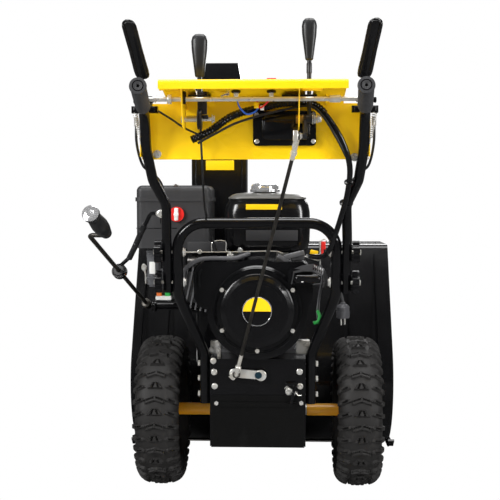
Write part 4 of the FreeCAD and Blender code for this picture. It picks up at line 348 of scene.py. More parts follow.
def tread_share(across, along):
    """Share of the full lug height at places across the tread and along its length, in mm.

    A lug's share is how far a place lies inside its edges, over its slope, held to 0 and 1.
    """
    across, along = np.broadcast_arrays(across, along)
    row = np.floor(along / PITCH + 0.5)
    v = along - row * PITCH
    x = np.abs(across)
    top = 7 - 8 * x / 23
    chevron = np.minimum(23 - x, np.minimum(top - v, v - top + 13) * 0.944)
    slit = np.min([x - 3.5, 19 - x, top - 2.5 - v, v - top + 5], axis=0)
    flank = 19.5 - (v + 8) * 13.5 / 17
    trapezoid = np.min([v + 8, 9 - v, (flank - x) * 0.78], axis=0)
    slot = np.min([1.3 - np.abs(x - 0.45 * flank), v + 5, 6 - v], axis=0)
    middle = np.where(row % 2 == 0, np.minimum(chevron, -slit), np.minimum(trapezoid, -slot))
    shoulder = inside(x, v, [(25, -5), (47, -14), (66, -16), (66, 0), (50, 1), (31, 6)])
    notch = np.min([1.2 - np.abs(v + 4.5 + (x - 38) * 0.42), x - 33, 46 - x], axis=0)
    return np.clip(np.maximum(middle, np.minimum(shoulder, -notch)) / LUG_SLOPE, 0, 1)


def tyre_grid(side):
    """Rings round the axle: a superelliptic carcass whose outside is raised by the lugs.

    Below the tread the wall follows a half ellipse to the bead, and the lining lies inside it.
    The bead towards the frame is drawn in with the narrower rim.
    """
    lean = np.linspace(0, np.pi / 2, 200)
    crown = np.c_[53 * np.sin(lean) ** (2 / 3.1), 137 + 46 * np.cos(lean) ** (2 / 3.1)]
    wall = np.c_[38 + 15 * np.cos(lean[1:]), 137 - 47 * np.sin(lean[1:])]
    outer = np.vstack([crown, wall])
    run = np.r_[0, np.cumsum(np.linalg.norm(np.diff(outer, axis=0), axis=1))]
    spots = np.r_[np.linspace(0, 66, 36), np.linspace(70, run[-1], 14)]
    x, r = np.interp(spots, run, outer[:, 0]), np.interp(spots, run, outer[:, 1])
    lining = np.array([(37, 87.5), (35, 100), (46, 137), (34, 168), (12, 174)])
    s = np.r_[-spots[:0:-1], spots, np.full(2 * len(lining), OFF_TREAD)]
    x = np.r_[-x[:0:-1], x, lining[:, 0], -lining[::-1, 0]]
    r = np.r_[r[:0:-1], r, lining[:, 1], lining[::-1, 1]]
    x = x * (1 - 0.36 * np.clip((125 - r) / 35, 0, 1) * (x * side < 0))
    out = np.stack([np.gradient(r), -np.gradient(x)], -1)
    out /= -np.linalg.norm(out, axis=1)[:, None]
    turn = np.linspace(0, 2 * np.pi, ROWS * 22, endpoint=False)[:, None]
    fade = np.clip((TREAD_HALF - np.abs(s)) / TREAD_FADE, 0, 1)
    rim_line = 0.9 * np.exp(-((r - 103) / 1.6) ** 2) * (np.abs(s) < OFF_TREAD)
    lift = LUG_HEIGHT * tread_share(s[None, :], turn * TYRE_RADIUS) * fade + rim_line
    x_all, r_all = x + lift * out[:, 0], r + lift * out[:, 1]
    return np.stack([side * WHEEL_X + x_all, -r_all * np.cos(turn), AXLE_Z + r_all * np.sin(turn)], -1)


SIDES = (("left", -1), ("right", 1))
for hand, side in SIDES:
    made(f"tyre_{hand}", [tyre_grid(side)], "wheels", rubber, "tyre_rubber", "tyres", looped=True, angle=50)

# ---------------------------------------------------------------- rims and axle
# Ochre pressed rims, narrower towards the frame, on long hub tubes that run in to it. A short
# rubber valve stands out of each rim's well, and the axle is zinc plated.
ochre = finish_of("rim_paint", PAINT, (0.86, 0.38, 0.003), (0.5, 0.28, 0.05), 0.25, (0.28, 0.42), 1, 0.15,
                  coat=0.15)


def dress(material, *names):
    """Give carried-over CAD nodes a material."""
    for name in names:
        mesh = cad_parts[name].data
        mesh.materials.clear()
        mesh.materials.append(material)


dress(zinc, "wheel_axle", "shaft_bearings")
pressed = [(9.6, 48), (15.5, 48), (15.5, 2.5), (60, 2.5), (62.5, 4.5), (62.5, 15.5), (75.5, 23), (76.5, 25),
           (76.5, 40), (79, 43.2), (83, 44), (87, 44), (88, 43), (87, 41.5), (79, 41.5), (79, 24.5),
           (65, 16.5), (65, -5), (79, -12), (79, -26), (87, -26), (88, -27), (87, -28.5), (80, -28.5),
           (76.5, -26), (76.5, -13.5), (62.5, -6.5), (62.5, 0), (15.5, 0), (15.5, -127), (9.6, -127)]
stem = [(5.5, 0), (5.5, 3), (3.2, 6), (3.0, 16), (3.9, 16.5), (3.9, 24), (2.2, 25)]
for hand, side in SIDES:
    rim = turned(pressed, (side * WHEEL_X, 0, AXLE_Z), (side, 0, 0), 96)
    made(f"rim_{hand}", [rim], "wheels", ochre, "yellow_paint", "rims")
    valve = turned(stem, (side * (WHEEL_X + 12), -46, AXLE_Z + 46), (side, -0.1, 0.1), 16)
    made(f"valve_{hand}", [valve], "wheels", flex_black, "soft_rubber")

# ---------------------------------------------------------------- traction frame
# A folded box in gloss black with its crinkled bottom cover, and the plated arm behind it
# that shifts the friction wheel, with a hairpin, a blue bush and a return spring.
black_gloss = finish_of("black_powder_coat", PAINT, (0.003, 0.003, 0.0035), (0.06, 0.055, 0.05), 0.06,
                        (0.12, 0.22), 1, 0.12, coat=0.25, specular=0.35)
crinkle = finish_of("crinkle_black", GRAIN, (0.003, 0.003, 0.003), (0.015, 0.015, 0.015), 0.3, (0.4, 0.5),
                    0.35, 0.5, 0.0008, specular=0.2)
steel = finish_of("bare_steel", METAL, (0.36, 0.35, 0.34), (0.18, 0.15, 0.12), 0.5, (0.3, 0.5), 1, 0.2,
                  metallic=1)
tempered_blue = finish_of("tempered_blue", METAL, (0.02, 0.06, 0.09), (0.05, 0.05, 0.04), 0.5, (0.25, 0.4),
                          1, 0.1, metallic=0.7)
dress(black_gloss, "traction_housing", "u_handle", "handle_tubes", "lever_brackets", "crank_bracket")
dress(crinkle, "bottom_cover")
dress(zinc, "shift_arm", "bolts", "tank_bracket")
dress(steel, "axle_gear", "drive_disc", "pinion_shaft", "auger_shaft", "impeller_shaft", "crankshaft",
      "scraper_bar")
dress(rubber, "friction_wheel", "drive_belts")


def block(size, place, soft=2.0, turn=None, corner=None):
    """A box with rounded edges, in mm: rounded rectangles stacked up, drawn in at both ends.

    The ends follow a quarter circle of radius soft; corner rounds the four upright edges.
    """
    half = np.array(size, float) / 2
    soft = min(soft, 0.95 * half.min())
    corner = min(max(corner or soft, soft), 0.98 * half[:2].min())
    arc = np.linspace(0, np.pi / 2, 5)
    quarter = arc + np.arange(4)[:, None] * np.pi / 2
    lift = np.r_[-arc[3::-1] - 0.001, arc[:4]][:, None, None] * 0.97
    round_off = corner - soft * (1 - np.cos(lift))
    x = np.array([[1], [-1], [-1], [1]]) * (half[0] - corner) + round_off * np.cos(quarter)
    y = np.array([[1], [1], [-1], [-1]]) * (half[1] - corner) + round_off * np.sin(quarter)
    z = np.copysign(half[2] - soft + soft * np.abs(np.sin(lift)), lift) + 0 * x
    grid = np.stack([x, y, z], -1).reshape(len(lift), -1, 3)
    return (grid @ turn.T if turn is not None else grid) + place


def swept(points, radius, sides=14, steps=8, swell=None, flat=1.0):
    """A round bar along a smooth line through points, in mm.

    The line is a Catmull-Rom curve, each ring is turned as little as the line bends, swell
    scales the radius along the length, and flat makes each ring an ellipse.
    """
    knots = np.array(points, float)
    knots = np.vstack([2 * knots[0] - knots[1], knots, 2 * knots[-1] - knots[-2]])
    u = np.linspace(0, 1, steps, endpoint=False)[:, None]
    runs = [0.5 * (2 * b + (c - a) * u + (2 * a - 5 * b + 4 * c - d) * u ** 2
                   + (3 * b - a - 3 * c + d) * u ** 3)
            for a, b, c, d in zip(knots, knots[1:], knots[2:], knots[3:])]
    way = np.vstack(runs + [knots[-2:-1]])
    ahead = np.gradient(way, axis=0)
    ahead /= np.linalg.norm(ahead, axis=1)[:, None]
    side = np.cross(ahead[0], (0, 0, 1) if abs(ahead[0, 2]) < 0.9 else (1, 0, 0))
    turn = np.linspace(0, 2 * np.pi, sides, endpoint=False)[:, None]
    length = np.r_[0, np.cumsum(np.linalg.norm(np.diff(way, axis=0), axis=1))]
    rings = []
    for spot, forward, run in zip(way, ahead, length):
        side = side - forward * (side @ forward)
        side /= np.linalg.norm(side)
        thick = radius * (swell(run) if swell else 1)
        rings.append(spot + thick * (np.cos(turn) * side + flat * np.sin(turn) * np.cross(forward, side)))
    return np.stack(rings)


def around(place, axis, radius, wire, turns=1.0, rise=0.0):
    """A wire wound round an axis at a radius, in mm: a ring, or a coil when it rises."""
    axis = np.array(axis, float) / np.linalg.norm(axis)
    side = np.cross(axis, (0, 0, 1) if abs(axis[2]) < 0.9 else (1, 0, 0))
    side /= np.linalg.norm(side)
    turn = np.linspace(0, 2 * np.pi * turns, int(14 * turns) + 1)[:, None]
    ring = radius * (np.cos(turn) * side + np.sin(turn) * np.cross(axis, side))
    return swept(place + ring + turn / turn[-1] * rise * axis, wire, 8, 2)


def coil(start, end, radius, wire, turns):
    """A helical spring between two places."""
    start, end = np.array(start, float), np.array(end, float)
    return around(start, end - start, radius, wire, turns, np.linalg.norm(end - start))


def hexagon(place, axis=(0, -1, 0), across=13, height=5.5, washer=True):
    """A flanged bolt head: a chamfered hexagon on a round washer face."""
    r = across / 1.732
    head = turned([(0.86 * r, 0), (r, 0.2), (r, height * 0.85), (0.86 * r, height)], place, axis, 6)
    flange = turned([(r * 1.35, 0), (r * 1.35, 1.2), (r * 1.2, 1.8)], place, axis, 20)
    return [head, flange] if washer else [head]


BACKWARD, SIDEWAYS, UPWARD = (0, -1, 0), (1, 0, 0), (0, 0, 1)
hairpin_end = swept([(-50, -205, 315), (-58, -206, 307), (-68, -205, 315)], 1.3, 8)
plated("hairpin", [around((-57, -206, 317), (0, 1, 0), 7, 1.3), hairpin_end], "selector")
plated("arm_plate", [block((66, 5, 21), (-24, -203.4, 320), 2, spun((0, 1, 0), 5), 2),
                     turned([(10, 0), (13, 0.6), (13, 5.4), (12, 6)], (8, -200.5, 317), BACKWARD, 28),
                     turned([(8, 0), (11, 0.6), (11, 5.4), (10, 6)], (-56, -200.5, 322), BACKWARD, 28)],
       "selector")
bush = turned([(2.5, 0), (7.6, 0), (8.4, 1), (8.4, 2), (3, 2.4)], (2, -206.4, 318), BACKWARD, 24)
made("arm_bush", [bush], "selector", tempered_blue, "gear_iron")
plated("return_spring", [coil((66, -197, 288), (92, -197, 272), 4.2, 0.9, 9),
                         swept([(92, -197, 272), (98, -196, 268), (104, -193, 268)], 1, 8),
                         *hexagon((74, -192.5, 276), across=10, height=5)])
made("spring_bracket", [block((8, 12, 46), (84, -196, 270), 2, spun((0, 1, 0), 12)),
                        block((26, 10, 7), (80, -197, 296), 2)], "machine", black_gloss, "black_paint")
for x, z in ((-106, 349), (-104, 322), (-103, 288), (-99, 247), (100, 324), (101, 289), (104, 249)):
    plated("frame_bolt", hexagon((x, -190, z), across=9.5, height=4.5))
made("engine_feet", [block((22, 24, 32), (-104, -152, 377), 3), block((34, 24, 34), (108, -152, 378), 3),
                     block((9, 30, 50), (-94, -150, 366), 2),
                     turned([(7, 0), (7, 5), (5, 7)], (-112, -164, 372), BACKWARD, 16),
                     *hexagon((128, -165, 372), across=12), *hexagon((-98, -165, 386), across=11)],
     "machine", zinc, "cast_alloy")

# ---------------------------------------------------------------- auger housing and what turns in it
# The pressed housing in gloss black, stiffened by two upright beads each side of the chute,
# with its coated auger, impeller, gearbox and worn steel edges.
cast = finish_of("cast_alloy", METAL, (0.30, 0.30, 0.31), (0.16, 0.16, 0.165), 0.6, (0.42, 0.6), 1.4, 0.5,
                 metallic=0.9)
dress(black_gloss, "auger_housing", "impeller_housing", "auger_flights", "impeller", "skid_shoes",
      "belt_cover")
dress(cast, "gearbox_case", "crankcase", "cylinder_head")
slope = np.array([(0, 213.5, 250), (0, 217, 300), (0, 236, 350), (0, 262, 395), (0, 300, 450),
                  (0, 352, 530), (0, 377, 572)])
for x in (-343, -268, 250, 330):
    made("housing_bead", [swept(slope + (x, 0, 0), 4.2, 12, 6, flat=0.6)], "machine", black_gloss,
         "black_pressing")

# ---------------------------------------------------------------- engine cowl and recoil starter
# A moulded cowl round the flywheel, and the recoil starter's stepped cover with raised rings,
# a two-tone disc in a bright bezel and a hooded pull.
moulding = finish_of("black_moulding", GRAIN, (0.004, 0.004, 0.0045), (0.02, 0.02, 0.02), 0.2,
                     (0.12, 0.22), 1, 0.06, specular=0.5)
satin_moulding = finish_of("satin_moulding", GRAIN, (0.030, 0.030, 0.032), (0.06, 0.06, 0.06), 0.3,
                           (0.42, 0.56), 1, 0.25, specular=0.4)
chrome = finish_of("bright_chrome", METAL, (0.85, 0.85, 0.86), (0.66, 0.66, 0.66), 0.25, (0.06, 0.14), 1,
                   0.04, metallic=0.8)
yellow_gloss = finish_of("yellow_powder_coat", PAINT, (0.93, 0.58, 0.004), (0.8, 0.62, 0.2), 0.08,
                         (0.25, 0.38), 1, 0.1, coat=0.15, specular=0.35)
bright_red = finish_of("red_moulding", GRAIN, (0.72, 0.015, 0.01), (0.5, 0.05, 0.04), 0.2, (0.3, 0.45))
white = finish_of("white_moulding", GRAIN, (0.74, 0.74, 0.72), (0.5, 0.5, 0.48), 0.3, (0.35, 0.5))
grey_hose = finish_of("grey_hose", GRAIN, (0.085, 0.085, 0.09), (0.15, 0.15, 0.15), 0.4, (0.4, 0.55))
dress(moulding, "fan_shroud", "recoil_cover", "recoil_handle", "mains_plug")
dress(steel, "muffler")


def moulded(name, grids, material=moulding, body="machine", **how):
    """A piece of moulded plastic, black unless another finish is given."""
    return made(name, grids, body, material, "black_plastic", **how)


FAN = np.array([0, -226, 475])
BADGE = FAN - (0, 23, 0)
sloping_face = [(61, 3), (62.5, 3.2), (83.5, -3), (85.6, -4), (86.6, -5.6), (87, -17)]
rings = [turned([(r - 1.3, 0), (r, 1.5), (r + 1.3, 0)], FAN, BACKWARD, 96) for r in (97, 101)]
moulded("recoil_rings", rings + [turned(sloping_face, FAN - (0, 17, 0), BACKWARD, 128)], capped=False)


def half_disc(radius, start, place, thick):
    """A half disc facing backward, standing on its straight edge at a start angle in degrees."""
    turn = np.radians(np.linspace(start, start + 180, 32))
    edge = np.c_[radius * np.cos(turn), np.zeros(32), radius * np.sin(turn)] + place
    return np.stack([edge, edge - (0, thick, 0)])


upper, lower = (half_disc(32.6, start, BADGE + (0, 0, gap), 1.4) for start, gap in ((0, 0.2), (180, -0.2)))
made("badge_upper", [upper], "machine", yellow_gloss, "yellow_paint")
moulded("badge_lower", [lower])
bezel = [(32.6, 0), (32.6, 1.8), (33.6, 2.2), (34.4, 1.2), (34.6, 0)]
made("badge_bezel", [turned(bezel, BADGE, BACKWARD, 72)], "machine", chrome, "chrome_plate", capped=False)
hood_middle = (118, 548)
hood_front = np.array([(81, 540), (86, 565), (106, 569), (124, 569), (149, 561), (154, 545), (150, 532)])
hood_back = np.array([(79, 539), (84, 570), (105, 578), (129, 582), (154, 571), (164, 546), (157, 529)])
hood_rows = [np.insert(line + wall * (line - hood_middle)
                       / np.linalg.norm(line - hood_middle, axis=1)[:, None], 1, y, 1)
             for line, y, wall in ((hood_back, -224, 2.6), (hood_front, -262, 2), (hood_front, -262, 0),
                                   (hood_back, -224, 0))]
moulded("pull_hood", [np.stack(hood_rows, 1)], satin_moulding, angle=20)
rib_turn = spun((0, 1, 0), 22) @ spun((1, 0, 0), 20)
moulded("pull_guard", [block((2.2, 25, 2), (131 + 4.6 * n, -244, 577 - 1.9 * n), 0.8, rib_turn)
                       for n in range(5)])
moulded("pull_bead", [turned([(1, 0), (4, 1), (4.6, 4), (3, 7)], (104, -260, 548), BACKWARD, 16)], white,
        "starter_pull")
moulded("recoil_well", [turned([(84, 0), (85.5, 2.5), (86.5, 0)], FAN - (0, 0.4, 0), BACKWARD, 96)],
        capped=False)
moulded("cowl_bead", [swept([(-136, -214, 528), (-138, -215.5, 540), (-137, -215.5, 560),
                             (-130, -214, 570)], 3, 10)])

# ---------------------------------------------------------------- governor links, breather hose and key
# A dark satin control plate and plated thin links along the top of the cowl, a grey breather
# hose, the carburettor's yellow lever, and a red run key on its upright blade.
green = finish_of("green_moulding", GRAIN, (0.02, 0.36, 0.06), (0.3, 0.4, 0.05), 0.5, (0.35, 0.5))
made("control_plate", [block((94, 2, 27), (-122, -172, 619), 1), block((18, 3, 24), (-42, -180, 602), 1),
                       block((4, 3, 58), (147, -184, 606), 1), block((12, 40, 2), (-42, -160, 590), 1)],
     "machine", satin_moulding, "zinc_steel")
plated("governor_links", [swept([(-172, -180, 608), (-60, -181, 609), (34, -182, 611), (60, -182, 606)],
                                1.5, 8),
                          swept([(-110, -176, 606), (-108, -177, 632), (-78, -177, 634),
                                 (-76, -177, 612), (-64, -178, 609)], 1.2, 8),
                          around((-139, -177, 609), (0, 1, 0), 4.5, 1.2),
                          coil((112, -182, 600), (146, -184, 590), 3, 0.8, 9),
                          swept([(146, -186, 634), (158, -188, 640), (166, -186, 633)], 1.3, 8)])
plated("link_bolts", [*hexagon((-66, -182, 599), across=10), *hexagon((-42, -182, 613), across=8),
                      *hexagon((98, -190, 578), across=10)])
made("throttle_arm", [block((50, 5, 13), (86, -184, 602), 2, spun((0, 1, 0), -14)),
                      block((36, 5, 10), (62, -184, 592), 2, spun((0, 1, 0), 30)),
                      block((30, 30, 14), (96, -166, 596), 3)], "machine", cast, "cast_alloy")
made("throttle_cam", [block((19, 6, 14), (133, -187, 607), 2.5, spun((0, 1, 0), 12)),
                      turned([(5, 0), (5, 4)], (133, -189, 607), BACKWARD, 16)],
     "machine", yellow_gloss, "yellow_paint")
moulded("run_key", [block((11, 6, 19), (155, -188, 625), 2), block((6, 4, 14), (153, -187, 612), 1)],
        bright_red)
hose_run = [(-176, -168, 548), (-173, -186, 566), (-156, -204, 582), (-128, -205, 594), (-60, -200, 595),
            (-38, -196, 600), (-20, -186, 606)]
made("breather_hose", [swept(hose_run, 5.2, 14)], "machine", grey_hose, "soft_rubber")


def connector_ribs(run):
    """Share of the connector's full width: fine ribs 2.6 mm apart, as a cosine squared."""
    return 0.72 + 0.28 * np.cos(run * 1.2) ** 2


moulded("sensor_connector", [swept([(141, -206, 473), (146, -207, 459), (142, -207, 447),
                                    (132, -206, 443)], 4.4, 12, 10, connector_ribs)], green)
plated("throttle_rod", [swept([(146, -215, 637), (147, -215, 581)], 1.5, 8)])
wire_run = np.array([(147, -186, 578), (150, -192, 545), (143, -200, 500), (140, -206, 460),
                     (150, -200, 430)])
made("sensor_wires", [swept(wire_run, 1.6, 8)], "machine", grey_hose, "cable_plastic")
dark_run = wire_run + [(4, 0, 0), (4, 0, 0), (4, 0, 0), (5, 0, 0), (4, 0, 0)]
made("sensor_wire_dark", [swept(dark_run, 1.6, 8)], "machine", flex_black, "cable_plastic")

# ---------------------------------------------------------------- electric starter
# A dark ribbed motor standing beside the cowl, with a bare plate and a plated clip, and the
# orange and green connectors on a pale foot beside it.
STARTER = np.array([-264, -72, 0])
motor_grey = finish_of("motor_grey", GRAIN, (0.11, 0.112, 0.12), (0.18, 0.18, 0.18), 0.3, (0.2, 0.3), 1,
                       0.12, specular=0.6)
orange = finish_of("orange_moulding", GRAIN, (0.78, 0.17, 0.02), (0.6, 0.3, 0.1), 0.4, (0.35, 0.5))


def ribbed(radius, proud, starts, width, ramp=1):
    """Outline of ribs standing proud of a radius: each rises and falls over its ramp."""
    return [(radius + rise, start + way) for start in starts
            for rise, way in ((0, 0), (proud, ramp), (proud, width - ramp), (0, width))]


motor = [(12, 520), (16, 521), (17, 524), (17, 530), *ribbed(17, 1.4, range(532, 549, 6), 4.5), (17, 586),
         *ribbed(17, 1.4, range(588, 604, 5), 4), (16.5, 608), (10, 609)]
made("starter_motor", [turned(motor, STARTER, UPWARD, 48), turned([(12, 516), (12, 524)], STARTER),
                       block((17, 22, 16), STARTER + (21.4, 6, 552), 3)],
     "machine", motor_grey, "black_plastic", "electric_starter")
sweep = np.radians(np.linspace(-118, -72, 12))
plate = np.stack([np.c_[r * np.cos(sweep), r * np.sin(sweep), np.full(12, z)]
                  for r, z in ((18, 549), (18.7, 549), (18.7, 579), (18, 579))])
moulded("starter_plate", [plate + STARTER], white, ringed=False, looped=True)
clip_run = STARTER + [(-17, -10, 566), (-24, -14, 572), (-27, -12, 562), (-20, -10, 552), (-19, -8, 524)]
plated("starter_clip", [swept(clip_run, 2.2, 10), *hexagon(STARTER + (-22, -14, 562), across=8)])
moulded("orange_connector", [block((13, 14, 24), STARTER + (16, -16, 505), 2)], orange)
moulded("green_connector", [block((13, 14, 24), STARTER + (37, -16, 504), 2)], green)
moulded("connector_foot", [block((40, 22, 11), STARTER + (27, -13, 489), 3)], white)

# ---------------------------------------------------------------- fuel tank and cap
# A blow-moulded tank, widest at its waist, with a rolled seam under its domed top,
# a bare yellow strip and dark plate behind, and a bright crimped cap. The seam, domed top and
# filler neck are the tank's black plastic painted a lighter warm grey: a painted highlight.
TANK, CAP = (21, -72, 0), (15, -102, 0)
# Painted light: the tank's top is the same black plastic as its body, painted a lighter warm grey as if lit
# from above.
tank_top_painted_light = finish_of("tank_top_painted_light", GRAIN, (0.10, 0.098, 0.09), (0.2, 0.19, 0.17), 0.5,
                           (0.28, 0.42), 1, 0.1, specular=0.6)


def rounded_rows(rows, place, power=4.5, sides=72):
    """Stacked superellipses, in mm: each row gives (height, half width, half length)."""
    turn = np.linspace(0, 2 * np.pi, sides, endpoint=False)
    x, y = (np.sign(wave) * np.abs(wave) ** (2 / power) for wave in (np.cos(turn), np.sin(turn)))
    z, half_width, half_length = np.array(rows, float).T[:, :, None]
    return np.stack([x * half_width, y * half_length, z + 0 * turn], -1) + place


def crimped(rows, place, waves, depth, low, high, sides=120):
    """Rings of (radius, height), in mm, whose radius ripples as a cosine between two heights."""
    turn = np.linspace(0, 2 * np.pi, sides, endpoint=False)
    r, z = np.array(rows, float).T[:, :, None]
    r = r * np.where((low < z) & (z < high), 1 + depth * np.cos(waves * turn), 1)
    return np.stack([r * np.cos(turn), r * np.sin(turn), z + 0 * turn], -1) + place


tank_rows = [(606, 60, 60), (606.5, 88, 82), (609, 95, 88), (616, 100, 92), (632, 104, 95),
             (675, 105.5, 97), (705, 104, 96), (720, 101, 94), (728, 97, 91), (733, 94, 88), (735, 93, 87)]
seam_rows = [(734, 88, 84), (734.5, 94, 88), (735.5, 95.5, 90), (738, 95.5, 90), (739.5, 94, 89),
             (741, 91, 86), (745, 86, 80), (748.5, 76, 70), (750.5, 54, 48)]
cap_rows = [(34, 752), (36, 752.5), (36, 758), (33.5, 759), (33.5, 762), (33, 767), (30, 771), (22, 773),
            (8, 774)]
made("tank_body", [rounded_rows(tank_rows, TANK, 5)], "machine", moulding, "tank_plastic", "fuel_tank",
     angle=50)
# The seam band, domed top and filler neck take the painted-light grey of the lit top.
made("tank_top", [rounded_rows(seam_rows, TANK, 5), turned([(28, 735), (28, 753)], CAP, UPWARD, 40)],
     "machine", tank_top_painted_light, "tank_plastic", angle=50)
made("tank_strip", [block((86, 1.2, 13), (14, -167.2, 716), 0.5, spun((1, 0, 0), -8))], "machine",
     yellow_gloss, "yellow_paint")
made("tank_plate", [block((124, 1.2, 25), (33, -168.9, 648), 0.5)], "machine", satin_moulding,
     "tank_plastic")
made("cap_shell", [crimped(cap_rows, CAP, 15, 0.018, 752.4, 759)], "filler", chrome, "chrome_plate",
     "fuel_cap")

# ---------------------------------------------------------------- carburettor cover and choke
# A satin warm-air box with a spring clip under its lid and a seam low on its side, and the
# choke: a red disc with a pale grip across it.
dress(satin_moulding, "carburettor_cover")
dress(bright_red, "choke_knob")
made("lid_clip", [block((13, 5, 5), (-200, -139, 767), 1.5),
                  swept([(-206, -138, 764), (-200, -141, 770), (-194, -138, 764)], 1.4, 8)],
     "machine", steel, "zinc_steel")
moulded("cover_seam", [block((100, 1.4, 1.6), (-248, -135.4, 664), 0.5),
                       block((1.6, 1.4, 30), (-238, -135.4, 690), 0.5)])
made("choke_grip", [block((10, 6, 31), (-198, -151, 698), 2.5),
                    turned([(6, 0), (6, 2.5), (4, 3.5)], (-198, -153, 698), BACKWARD, 24)],
     "choke", white, "choke_white")

# ---------------------------------------------------------------- handle tubes, grips and clamp knobs
# Gloss black tubes clamped by star knobs and nuts, with ribbed rubber grips that end in a
# flanged disc.
grip_rubber = finish_of("grip_rubber", GRAIN, (0.030, 0.030, 0.032), (0.08, 0.08, 0.08), 0.4, (0.5, 0.65),
                        1, 0.3, specular=0.35)
dress(moulding, "clamp_knob_high_left", "clamp_knob_high_right", "clamp_knob_low_left",
      "clamp_knob_low_right")
GRIP_END, GRIP_WAY = np.array([213, -640, 946]), np.array([13, 170, -34])
grip_line = [(3, 8), (3, 1.5), (4, 0.6), (14, 0), (16.4, 1), (16.8, 4), (15.5, 6), (13.6, 8),
             *ribbed(13.8, 1.6, range(10, 123, 8), 6, 1.5), (13.8, 131), (14.8, 132), (14.8, 135),
             (11.4, 135)]
for hand, side in SIDES:
    flip = np.array((side, 1, 1))
    grip = turned(grip_line, GRIP_END * flip, GRIP_WAY * flip, 40)
    made(f"grip_{hand}", [grip], "machine", grip_rubber, "soft_rubber", "grips", angle=45)
    for height, y in ((544, -265), (614, -276)):
        plated(f"clamp_nut_{hand}", hexagon((side * 231.5, y, height), (side, 0, 0), 11, 5))

# ---------------------------------------------------------------- clutch levers
# A black wire arm on each handle with a moulded paddle: a raised rim round a hollow grip
# face. A coil spring and a plated hanger run down from each bracket to its cable.
LEVER_FOOT, LEVER_TOP = np.array([218, -560, 984.0]), np.array([230, -640, 1062.0])
LEVER_MIDDLE = (LEVER_FOOT + LEVER_TOP) / 2
PADDLE_RADIUS, PADDLE_FLAT, RIM_OFFSET, RIM_RISE, RIM_WIRE = 14.4, 0.42, 8.6, 4.7, 1.7
HINGE = np.array([226, -462, 937])
way = np.array([12, -80, 78]) / np.linalg.norm([12, -80, 78])
face = np.cross(way, SIDEWAYS)
face /= np.linalg.norm(face) * -np.sign(face[1])
across = np.cross(way, face)


def paddle_swell(run):
    """Share of the paddle's full width along its 137 mm: full down to its foot, with a round top."""
    return float(np.interp(run, (0, 3, 9, 20, 66, 109, 123, 131, 135, 138),
                           (0.55, 0.85, 1, 1.05, 0.98, 1, 0.99, 0.84, 0.6, 0.2)))


def sleeve(bore, radius, length, place, axis=SIDEWAYS, sides=28):
    """A plain sleeve that starts at a place, in mm."""
    return turned([(bore, 0), (radius, 0), (radius, length), (bore, length)], place, axis, sides)


paddle_run = np.array([LEVER_FOOT - way * 18, LEVER_FOOT + way * 25, LEVER_MIDDLE + way * 14,
                       LEVER_TOP + way * 7])
arm_run = np.array([HINGE, (226, -502, 971), (222, -530, 979), LEVER_FOOT - way * 4,
                    LEVER_FOOT + way * 20])
rim_runs = [np.array([LEVER_FOOT + across * offset - way * 9, LEVER_MIDDLE + across * offset * 0.94,
                      LEVER_TOP + across * offset]) for offset in (-RIM_OFFSET, RIM_OFFSET)]
rim_top = np.array([LEVER_TOP - across * RIM_OFFSET, LEVER_TOP + way * 2.6 - across * 5,
                    LEVER_TOP + way * 3.6, LEVER_TOP + way * 2.6 + across * 5,
                    LEVER_TOP + across * RIM_OFFSET])
for hand, side in SIDES:
    flip = np.array((side, 1, 1))
    form = [swept(paddle_run * flip, PADDLE_RADIUS, 28, 14, paddle_swell, PADDLE_FLAT),
            swept(arm_run * flip, 4.5, 12),
            swept(np.array([HINGE, HINGE + (0, 30, -4)]) * flip, 4, 10),
            sleeve(4.3, 9, 22, (HINGE - (11, 0, 0)) * flip, (side, 0, 0), 24)]
    form += [swept((run + face * RIM_RISE) * flip, RIM_WIRE, 10, steps)
             for run, steps in ((rim_runs[0], 8), (rim_runs[1], 8), (rim_top, 4))]
    made(f"clutch_paddle_{hand}", form, f"clutch_{hand}", moulding, "black_plastic",
         f"clutch_lever_{hand}")
    plated(f"lever_spring_{hand}",
           [coil((side * 246, -466, 912), (side * 239, -450, 862), 4.4, 1.0, 12),
            swept([(side * 239, -450, 862), (side * 236, -440, 838), (side * 226, -424, 832)], 1.3, 8),
            swept([(side * 238, -466, 916), (side * 246, -468, 922), (side * 246, -466, 912)], 1.3, 8)])
    made(f"bracket_bolt_{hand}", [*hexagon((side * 226, -470, 918), BACKWARD, 10),
                                  *hexagon((side * 244, -462, 937), (side, 0, 0), 10, washer=False),
                                  block((46, 5, 12), (side * 226, -470.5, 918), 2)],
         "machine", black_gloss, "black_paint")

# ---------------------------------------------------------------- control panel
# Folded yellow sheet with a red rocker switch on its deck. Under the deck run an interlock
# shaft with collars and clips, the levers' springs and pivots, and two capped plugs with
# coloured wires.
dress(yellow_gloss, "control_panel")
SHAFT_Y, SHAFT_Z, SHAFT_RADIUS = -503, 935, 4.6
PIVOT_Y, PIVOT_Z, PIVOT_BORE = -469, 898, 4.2
SWITCH_Y = -482
plated("interlock_shaft", [swept([(x, SHAFT_Y, SHAFT_Z) for x in (-218, -60, 100, 219)], SHAFT_RADIUS, 16)])
collar = [(4.6, -4), (9, -4), (9.6, -3), (9.6, 3), (9, 4), (4.6, 4)]
long_collar = [(4.6, 0), (7, 0), (7.6, 2), (7.6, 20), (7, 22), (4.6, 22)]
plated("shaft_collar", [turned(collar, (-170, SHAFT_Y, SHAFT_Z), SIDEWAYS, 28),
                        sleeve(SHAFT_RADIUS, 7, 2, (-200, SHAFT_Y, SHAFT_Z), sides=20),
                        turned(long_collar, (152, SHAFT_Y, SHAFT_Z), SIDEWAYS, 28)])
moulded("shaft_clip", [block((7, 12, 26), (-140, SHAFT_Y, 938), 2.5),
                       block((5, 10, 22), (215, SHAFT_Y, 936), 2)])
plated("panel_bolts", [grid for x, y, z, across in ((-226, -418, 829, 11), (-207, -418, 829, 11),
                                                    (209, -418, 822, 11), (230, -418, 822, 11),
                                                    (-138, -430, 953, 9), (-124, -430, 953, 9))
                       for grid in hexagon((x, y, z), across=across)])
